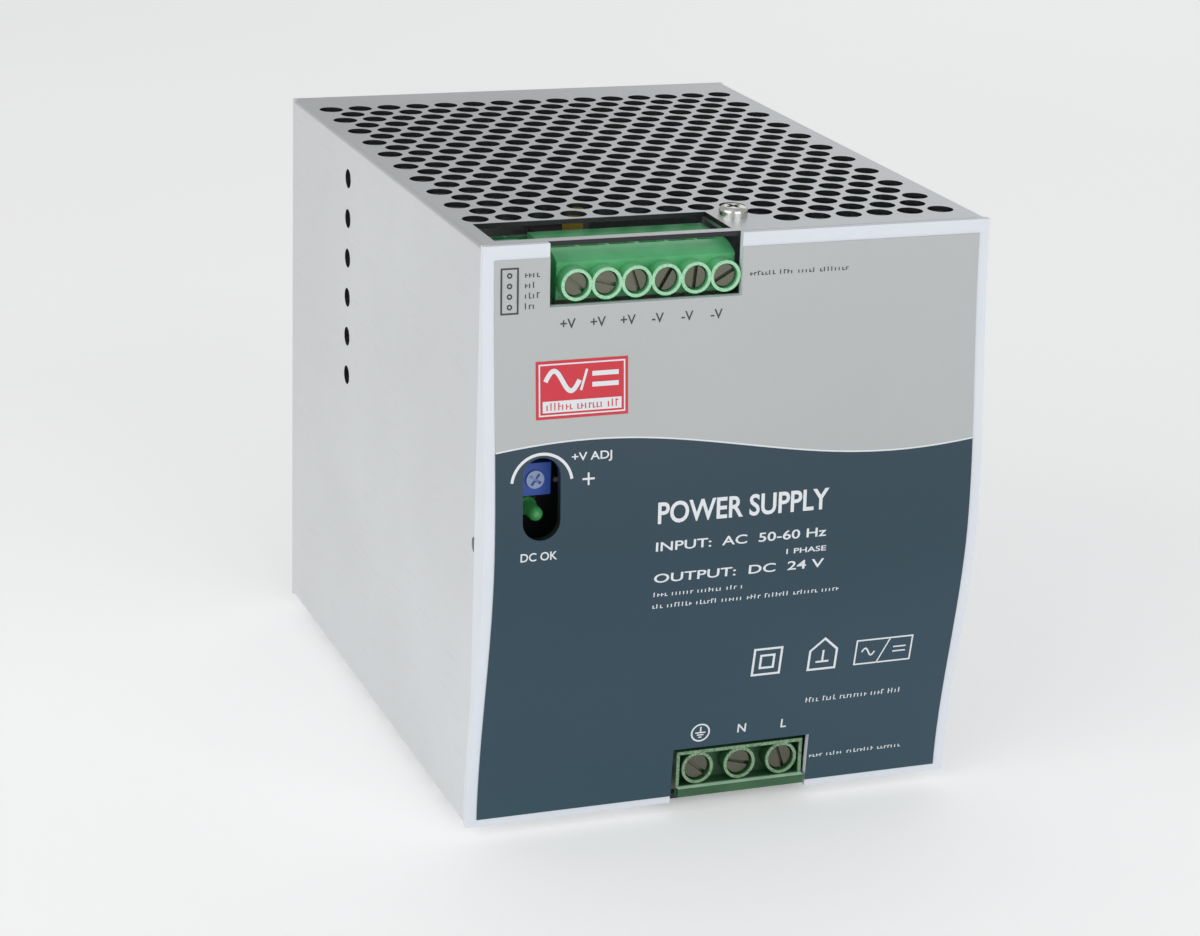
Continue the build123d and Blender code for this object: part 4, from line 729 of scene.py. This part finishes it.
def letter_curve(words, size, bold):
    """A mesh of words in Blender's own font, as thick as the ink."""
    data = bpy.data.curves.new("letters", "FONT")
    data.body = words
    data.size = size
    data.resolution_u = 4
    data.offset = bold
    data.extrude = PRINT / 2
    holder = bpy.data.objects.new("letters", data)
    bpy.context.scene.collection.objects.link(holder)
    graph = bpy.context.evaluated_depsgraph_get()
    mesh = bpy.data.meshes.new_from_object(holder.evaluated_get(graph))
    bpy.data.objects.remove(holder)
    bpy.data.curves.remove(data)
    return mesh


def capital_share():
    """Height of a capital letter as a share of the font's size."""
    mesh = letter_curve("H", 1.0, 0.0)
    share = max(v.co.y for v in mesh.vertices) - min(v.co.y for v in mesh.vertices)
    bpy.data.meshes.remove(mesh)
    return share


CAPITAL = capital_share()


def lettering(name, words, x, height, capital, look, slot, bold=0.0, across=None, align=0.0):
    """Words on the front: x and height of the baseline, capital height, and the width to fill if given.
    align is the share of the width that lies left of x."""
    mesh = letter_curve(words, capital / CAPITAL, bold)
    bm = bmesh.new()
    bm.from_mesh(mesh)
    bpy.data.meshes.remove(mesh)
    bmesh.ops.remove_doubles(bm, verts=bm.verts, dist=0.0005)
    low, high = min(v.co.x for v in bm.verts), max(v.co.x for v in bm.verts)
    stretch = across / (high - low) if across else 1.0
    shift = x - align * (high - low) * stretch
    for vert in bm.verts:
        u, v, w = vert.co
        vert.co = on_front(shift + (u - low) * stretch, height + v, PRINT_GAP + PRINT / 2 + w)
    return piece(name, bm, "case", [look])


# The strokes of print too small to read
STEM = 0.22  # width of each letter's upright
BAR = (0.25, 0.6)  # start and end of its crossbar, from its left
BAR_TALL = 0.16
BAR_CHANCE = 0.55
LETTER_STEP = 0.82
WORD_SPACE = 0.75


def tiny_words(x0, x1, height, tall, seed):
    """Strokes like letters too small to read: a neutral stand-in for fine print."""
    rng = random.Random(seed)
    shapes, x = [], x0
    while x < x1:
        letters = rng.randint(3, 8)
        for _ in range(letters):
            if x > x1:
                break
            top = tall * rng.choice((0.72, 0.72, 1.0))
            shapes.append(rectangle(x, height, x + STEM, height + top))
            if rng.random() < BAR_CHANCE:
                bar = height + top * rng.choice((0.0, 0.45, 0.8))
                shapes.append(rectangle(x + BAR[0], bar, x + BAR[1], bar + BAR_TALL))
            x += LETTER_STEP
        x += WORD_SPACE
    return shapes


WAVE_DROP = 12.0  # more than the films' boundary falls below the slate film's top
HALVINGS = 12


def boundary_height(x):
    """Height in mm at which the slate film gives way to the grey one, found by halving."""
    scene, graph = bpy.context.scene, bpy.context.evaluated_depsgraph_get()
    top = (LOWER[1].z - FRONT[0].z) / MM
    low, high = top - WAVE_DROP, top + 1.0
    before, reach = 5.0, 20.0 * MM  # a ray's start before the film, and its length
    for _ in range(HALVINGS):
        middle = (low + high) / 2
        origin = on_front(x, middle, before)
        *_, node, _ = scene.ray_cast(graph, origin, Vector((0, 1, 0)), distance=reach)
        if node is not None and node.name == "front_film_upper":
            high = middle
        else:
            low = middle
    return (low + high) / 2


def mm_of(node):
    """Centre of a node, as a place of the print."""
    low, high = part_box(node)
    middle = (low + high) / 2
    return (middle.x - FRONT[0].x) / MM, (middle.z - FRONT[0].z) / MM


def print_wave_line():
    """The white line where the two films meet."""
    x0, x1 = [(edge - FRONT[0].x) / MM for edge in (LOWER[0].x, LOWER[1].x)]
    count, margin, rise, width = 56, 0.1, 0.1, 0.32
    xs = [x0 + margin + (x1 - x0 - 2 * margin) * k / count for k in range(count + 1)]
    lay_print("print_wave_line", stroke([(x, boundary_height(x) + rise) for x in xs], width), *ON_SLATE)


def print_earth(x, height):
    """The protective earth sign: a ring round an upright and three bars that shorten downwards."""
    shapes = ring(x, height, 2.0, 0.36, step=15)
    shapes += stroke([(x, height + 1.4), (x, height + 0.1)], 0.34)
    for half, drop in ((1.15, 0.0), (0.75, 0.55), (0.35, 1.1)):
        shapes += stroke([(x - half, height - drop), (x + half, height - drop)], 0.3)
    lay_print("print_earth", shapes, *ON_SLATE)


def print_terminal_marks():
    """What each clamp is for: below the output screws and above the input screws."""
    for i, sign in enumerate(("+V", "+V", "+V", "-V", "-V", "-V"), 1):
        x, height = mm_of(f"output_screw_{i}")
        lettering(f"print_output_{i}", sign, x - 2.0, height - 8.4, 1.9, *ON_GREY, bold=0.03, align=0.5)
    x, height = mm_of("input_screw_1")
    print_earth(x - 0.8, height + 9.3)
    for i, sign in enumerate(("N", "L"), 2):
        x, height = mm_of(f"input_screw_{i}")
        lettering(f"print_input_{i}", sign, x - 1.0, height + 8.3, 2.0, *ON_SLATE, bold=0.04, align=0.5)


def print_signal_legend():
    """Plan of the four-way socket: an outline with its contacts and four short marks."""
    shapes = frame_line(3.7, 111.6, 7.1, 120.6, 0.35)
    contact_x, first, pitch = 5.4, 112.9, 2.1
    for k in range(4):
        h = first + pitch * k
        shapes += ring(contact_x, h, 0.42, 0.3, step=30)
        shapes += tiny_words(8.6, 11.6 if k % 2 else 10.4, h - 0.55, 1.2, 20 + k)
    lay_print("print_signal_legend", shapes, *ON_GREY)


def print_badge():
    """A plain red field with a sine wave that turns into two straight lines."""
    x0, x1, h0, h1 = 10.8, 30.3, 90.0, 101.7
    lay_print("badge_field", filled(x0, h0, x1, h1), INK_RED, "film_upper")
    strip = h0 + 4.0  # top of the white strip along the lower edge
    inset, bold_line = 0.75, 0.95
    white = frame_line(x0 + inset, h0 + inset, x1 - inset, h1 - inset, 0.3)
    white += filled(x0 + 1.4, h0 + 1.3, x1 - 1.4, strip - 0.4)
    middle, swing = (strip + h1 - 0.6) / 2, 2.1
    white += stroke(sine(x0 + 2.0, middle, 7.2, swing, 20), bold_line)
    for rise in (-1.1, 1.1):
        white += stroke([(x1 - 7.6, middle + rise), (x1 - 2.0, middle + rise)], bold_line)
    white += stroke([(x1 - 10.0, middle - swing), (x1 - 8.7, middle + swing)], 0.5)
    lay_print("badge_mark", white, INK_WHITE, "film_upper", SECOND_LAYER)
    lay_print("badge_strip_marks", tiny_words(x0 + 2.2, x1 - 2.6, h0 + 1.75, 1.5, 5), INK_RED, "film_upper",
              2 * SECOND_LAYER)


def print_adjuster_marks():
    """The adjuster's arc, name and plus sign, and the lamp's name."""
    x, height = mm_of("trimmer_rotor")
    x -= 0.3
    lay_print("print_adjuster_arc", ring(x, height + 0.4, 6.4, 0.6, 172, 8, 6.0), *ON_SLATE)
    lettering("print_adjust", "+V ADJ", 18.3, 81.2, 1.6, *ON_SLATE, 0.03, 8.6)
    plus = stroke([(20.6, 77.3), (23.2, 77.3)], 0.4) + stroke([(21.9, 76.0), (21.9, 78.6)], 0.4)
    lay_print("print_adjust_plus", plus, *ON_SLATE)
    lettering("print_lamp", "DC OK", 7.7, 61.0, 1.7, *ON_SLATE, 0.03, 7.8)


# Name, words, left end, baseline, capital height, boldness and width, all in mm
TITLES = (
    ("print_title", "POWER SUPPLY", 37.0, 66.6, 4.3, 0.12, 38.0),
    ("print_input", "INPUT:  AC  50-60 Hz", 36.8, 60.6, 1.9, 0.03, 38.0),
    ("print_phase", "1 PHASE", 66.0, 57.3, 1.1, 0.02, 9.0),
    ("print_output", "OUTPUT:  DC  24 V", 36.8, 53.6, 1.9, 0.03, 38.0),
)
# Left end, right end, baseline and height in mm, seed, and the ink and slot
FINE_PRINT = (
    (37.0, 57.0, 50.4, 1.0, 1, ON_SLATE),
    (37.0, 79.0, 47.7, 1.0, 2, ON_SLATE),
    (75.0, 97.4, 20.7, 1.2, 3, ON_SLATE),
    (77.5, 99.0, 6.9, 0.9, 4, ON_SLATE),
    (56.5, 78.5, 116.3, 0.9, 6, ON_GREY),
)


def print_titles():
    """Generic wording: what the unit is, its alternating input and its direct-current output."""
    for name, words, x, height, capital, bold, across in TITLES:
        lettering(name, words, x, height, capital, *ON_SLATE, bold, across)
    for i, (x0, x1, height, tall, seed, ink_and_slot) in enumerate(FINE_PRINT, 1):
        lay_print(f"print_fine_{i}", tiny_words(x0, x1, height, tall, seed), *ink_and_slot)


def print_symbols():
    """Three plain symbols in a row: a double square, a house for indoor use, a converter's box."""
    square = frame_line(61.5, 29.0, 67.7, 35.2, 0.5) + frame_line(63.1, 30.6, 66.1, 33.6, 0.5)
    lay_print("print_symbol_square", square, *ON_SLATE)
    walls = [(74.4, 28.8), (80.6, 28.8), (80.6, 33.4), (77.5, 36.2), (74.4, 33.4)]
    house = stroke(walls, 0.5, closed=True) + stroke([(76.0, 30.6), (79.0, 30.6)], 0.45)
    house += stroke([(77.5, 30.8), (77.5, 33.4)], 0.45)
    lay_print("print_symbol_house", house, *ON_SLATE)
    box = frame_line(85.2, 28.9, 98.2, 34.7, 0.35) + stroke([(90.4, 28.9), (93.0, 34.7)], 0.3)
    middle = 31.8
    box += stroke(sine(86.6, middle, 3.0, 0.9, 12), 0.35)
    for rise in (-0.55, 0.55):
        box += stroke([(93.9, middle + rise), (96.9, middle + rise)], 0.32)
    lay_print("print_symbol_converter", box, *ON_SLATE)


# ---------------- springs and windings
def coil_springs():
    """Two compression springs with closed ends, in place of the plain tubes."""
    bm = bmesh.new()
    wire, turns, closed = 0.75 * MM, 8.5, 1.25  # thickness, turns, and how many are closed at each end
    for points in islands("latch_springs"):
        a, b = span_of(points)
        middle = (a + b) / 2
        radius = (b.x - a.x) / 2 - wire / 2
        line, steps = [], 160
        for k in range(steps + 1):
            turn = turns * k / steps
            ends = min(turn, closed) + max(0.0, turn - (turns - closed))
            rise = ends * wire + (turn - ends) * (b.z - a.z - wire - 2 * closed * wire) / (turns - 2 * closed)
            angle = 2 * math.pi * turn
            line.append((middle.x + radius * math.cos(angle), middle.y + radius * math.sin(angle),
                         a.z + wire / 2 + rise))
        tube(bm, line, wire / 2, 10)
    smooth(bm, 60)
    springs = piece("latch_spring_coils", bm, "case", [LOOKS["spring_steel"]])
    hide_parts("latch_springs")
    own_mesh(springs)


WIRE_PITCH = 1.04  # turn to turn inside the ring, in wire thicknesses
SQUARENESS = 0.55  # 0 gives round turns, 1 square ones


def choke_windings():
    """Enamelled wire wound round each ring core in two halves, in place of the plain sleeves."""
    bm = bmesh.new()
    for points in islands("choke_cores"):
        low, high = span_of(points)
        middle = (low + high) / 2
        outer = (high.y - low.y) / 2
        inner = min(math.hypot(p.y - middle.y, p.z - middle.z) for p in points)
        half = (high.x - low.x) / 2
        wire = min(1.5, 110 * outer) * MM  # 1.5 mm thick, and thinner on a small ring
        gap = 0.1 * MM + wire / 2  # the wire's middle to the core
        arc = math.radians(118.0)  # covered by each half
        turns = int(arc * (inner - wire) / (wire * WIRE_PITCH))
        for side in (0.0, math.pi):
            line, steps = [], 20
            for k in range(turns * steps + 1):
                turn = k / steps
                angle = side + math.pi / 2 - arc / 2 + arc * turn / turns
                across, along = math.cos(2 * math.pi * turn), math.sin(2 * math.pi * turn)
                squared = max(abs(across), abs(along)) ** SQUARENESS
                radial = (outer + inner) / 2 + ((outer - inner) / 2 + gap) * across / squared
                x = middle.x + (half + gap) * along / squared
                line.append((x, middle.y + radial * math.cos(angle), middle.z + radial * math.sin(angle)))
            tube(bm, line, wire / 2, 8)
    smooth(bm, 60)
    wound = piece("choke_wire", bm, "case", [LOOKS["copper_wire"]])
    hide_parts("choke_windings")


# ---------------- small parts on the boards
UP = Vector((-1, 0, 0))  # away from the main board
LEAD_RADIUS = 0.3 * MM
SUNK = 0.1 * MM  # how far leads go into the board
# Places in the list of looks that every small part is given
CERAMIC, LEAD, BLUE, BROWN, RED, GOLD, CAN, FILM_RED, FILM_CREAM, BLACK = range(10)


def small_part_looks():
    """The looks of the small parts, in the order of their places above."""
    return [
        LOOKS["fuse_ceramic"],
        LOOKS["tinned_copper"],
        plastic("disc_blue", lin(40, 92, 158), 0.4),
        ink("band_brown", lin(96, 52, 30)),
        ink("band_red", lin(190, 40, 36)),
        ink("band_gold", lin(180, 146, 60)),
        LOOKS["can_sleeve_2"],
        plastic("film_red", lin(168, 52, 44), 0.4),
        plastic("film_cream", lin(214, 200, 158), 0.4),
        LOOKS["black_plastic"],
    ]


# Each maker takes the mesh, its foot on the board, its direction along it and the random draws
def resistor(bm, foot, along, rng):
    """Axial resistor lying along the board, with bent leads and colour bands."""
    body, radius, reach = 6.4 * MM, 1.25 * MM, 2.4 * MM
    along = Vector(along)
    centre = Vector(foot) + UP * (radius + 0.5 * MM)
    cap = [(0, 0), (0, 0.72), (0.06, 0.95), (0.16, 1.0)]
    waist = [(share, 0.86) for share in (0.2, 0.3, 0.38, 0.46, 0.54, 0.62, 0.72, 0.8)]
    profile = [*cap, *waist, (0.84, 1.0), (0.94, 0.95), (1, 0.72), (1, 0)]
    bands = {5: rng.choice((BROWN, RED)), 7: rng.choice((RED, GOLD)), 9: BROWN, 11: GOLD}
    rows = [bands.get(k, CERAMIC) for k in range(len(profile) - 1)]
    start = centre - along * body / 2
    lathe(bm, [(a * body, r * radius) for a, r in profile], start, along, 16, rows)
    for side in (-1, 1):
        tip = centre + along * side * (body / 2 + reach)
        path = [centre + along * side * body * 0.48, tip - along * side * 0.8 * MM, tip + UP * -0.3 * MM,
                Vector((foot[0] + SUNK, tip.y, tip.z))]
        tube(bm, path, LEAD_RADIUS, 8, LEAD)


def disc_capacitor(bm, foot, along, rng):
    """Ceramic disc on two leads, standing off the board."""
    radius, thick = rng.uniform(2.8, 3.8) * MM, 2.4 * MM
    side = UP.cross(Vector(along))
    centre = Vector(foot) + UP * (radius + 1.6 * MM)
    profile = [(0, 0), (0, 0.6), (0.12, 0.88), (0.5, 1.0), (0.88, 0.88), (1, 0.6), (1, 0)]
    rows = [BLUE] * (len(profile) - 1)
    lathe(bm, [(a * thick, r * radius) for a, r in profile], centre - side * thick / 2, side, 22, rows)
    for end in (-1, 1):
        top = centre + Vector(along) * end * radius * 0.5
        path = [top, top - UP * radius, Vector((foot[0] + SUNK, top.y, top.z))]
        tube(bm, path, LEAD_RADIUS, 8, LEAD)


def small_can(bm, foot, along, rng):
    """Small electrolytic can standing on the board."""
    radius, tall = rng.uniform(2.4, 3.1) * MM, rng.uniform(7.5, 10.0) * MM
    profile = [(0, 0), (0, 0.96), (0.04, 1), (0.1, 1), (0.13, 0.9), (0.18, 1), (0.95, 1), (0.985, 0.9),
               (1, 0.8), (1, 0)]
    rows = [CAN] * 7 + [LEAD] * 2  # the sleeve, then the bare metal top
    lathe(bm, [(a * tall, r * radius) for a, r in profile], foot, UP, 22, rows)


def standing_box(bm, foot, along, long_way, wide, rise, bevel, material):
    """A box over a foot, between two heights; long_way and wide are halves of its sides."""
    y, z = (long_way, wide) if abs(along[1]) > 0.5 else (wide, long_way)
    low = (foot[0] - rise[1], foot[1] - y, foot[2] - z)
    high = (foot[0] - rise[0], foot[1] + y, foot[2] + z)
    bevelled_box(bm, low, high, bevel, material)


def film_capacitor(bm, foot, along, rng):
    """Small moulded box capacitor."""
    long_way, wide, tall = rng.uniform(6.0, 8.5) * MM / 2, 1.9 * MM, rng.uniform(5.5, 8.0) * MM
    colour = rng.choice((FILM_RED, FILM_CREAM))
    standing_box(bm, foot, along, long_way, wide, (0.2 * MM, tall), 0.4 * MM, colour)


def chip(bm, foot, along, rng):
    """Eight-lead package with its leads in two rows."""
    long_way, wide, pitch, lead = 4.7 * MM, 3.2 * MM, 2.54 * MM, 1.0 * MM
    standing_box(bm, foot, along, long_way, wide, (0.9 * MM, 4.2 * MM), 0.35 * MM, BLACK)
    for k in range(4):
        offset = (k - 1.5) * pitch
        for side in (-1, 1):
            out = side * (wide + lead / 2)
            y, z = (offset, out) if abs(along[1]) > 0.5 else (out, offset)
            low = (foot[0] - 2.6 * MM, foot[1] + y - lead / 2, foot[2] + z - lead / 2)
            bevelled_box(bm, low, (foot[0] + SUNK, low[1] + lead, low[2] + lead), 0.15 * MM, LEAD)


# Name, maker, and half the length and width of its footprint in mm
KINDS = (
    ("resistor", resistor, 6.2, 1.8),
    ("disc_capacitor", disc_capacitor, 4.2, 1.9),
    ("small_can", small_can, 3.4, 3.4),
    ("film_capacitor", film_capacitor, 4.8, 2.3),
    ("chip", chip, 5.2, 4.4),
)
TRIES = 900
MOST_PARTS = 44
BOARD_RIM = 6.0 * MM  # from the board's edge to the nearest middle of a part
PART_GAP = 1.2 * MM  # between footprints
BARE_RIM = 1.0 * MM  # of bare board wanted round a footprint
HEADROOM = 13.0 * MM  # of free room wanted above it
CROWDING = 0.6  # 1 spreads the parts evenly over the height, less moves them up


def bare(scene, graph, foot, half_y, half_z):
    """Whether the board under a footprint is bare and the room above it free."""
    past, same = 2.0 * MM, 0.2 * MM  # how far a ray may go past the board, and what counts as on it
    for y in (-half_y, 0, half_y):
        for z in (-half_z, 0, half_z):
            origin = Vector((foot[0] - HEADROOM, foot[1] + y, foot[2] + z))
            hit, place, _, _, node, _ = scene.ray_cast(graph, origin, -UP, distance=HEADROOM + past)
            if not hit or node.name != "main_board" or abs(place.x - foot[0]) > same:
                return False
    return True


def populate_board():
    """Small parts wherever the main board is bare, most of them towards its upper edge."""
    small = small_part_looks()
    scene, graph = bpy.context.scene, bpy.context.evaluated_depsgraph_get()
    low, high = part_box("main_board")
    rng = random.Random(7)
    taken = []
    for _ in range(TRIES):
        name, make, long_way, wide = KINDS[rng.randrange(len(KINDS))]
        turned = rng.random() < 0.5
        along = (0, 1, 0) if turned else (0, 0, 1)
        half_y, half_z = [s * MM for s in ((long_way, wide) if turned else (wide, long_way))]
        rise = rng.random() ** CROWDING
        foot = (low.x, rng.uniform(low.y + BOARD_RIM, high.y - BOARD_RIM),
                low.z + BOARD_RIM + (high.z - low.z - 2 * BOARD_RIM) * rise)
        clash = any(abs(foot[1] - y) < half_y + hy + PART_GAP and abs(foot[2] - z) < half_z + hz + PART_GAP
                    for y, z, hy, hz in taken)
        if clash or not bare(scene, graph, foot, half_y + BARE_RIM, half_z + BARE_RIM):
            continue
        taken.append((foot[1], foot[2], half_y, half_z))
        bm = bmesh.new()
        make(bm, foot, along, rng)
        smooth(bm, 38)
        piece(f"{name}_{len(taken):02d}", bm, "case", small)
        if len(taken) >= MOST_PARTS:
            break


# ---------------- floor and assembly
def add_floor():
    """A large level sheet just below the unit."""
    bm = bmesh.new()
    z = CAD_BOX[0][2] - FLOOR_GAP
    half = FLOOR_SIZE / 2
    bm.faces.new([bm.verts.new((x, y, z)) for x, y in rectangle(-half, -half, half, half)])
    bmesh.ops.subdivide_edges(bm, edges=bm.edges[:], cuts=FLOOR_CUTS, use_grid_fill=True)
    data = bpy.data.meshes.new("floor")
    bm.to_mesh(data)
    bm.free()
    data.materials.append(floor_look().material)
    floor = bpy.data.objects.new("floor", data)
    bpy.context.scene.collection.objects.link(floor)


dress_cad()
print_wave_line()
print_terminal_marks()
print_signal_legend()
print_badge()
print_adjuster_marks()
print_titles()
print_symbols()
coil_springs()
choke_windings()
populate_board()
add_floor()
add_lights()
add_camera()
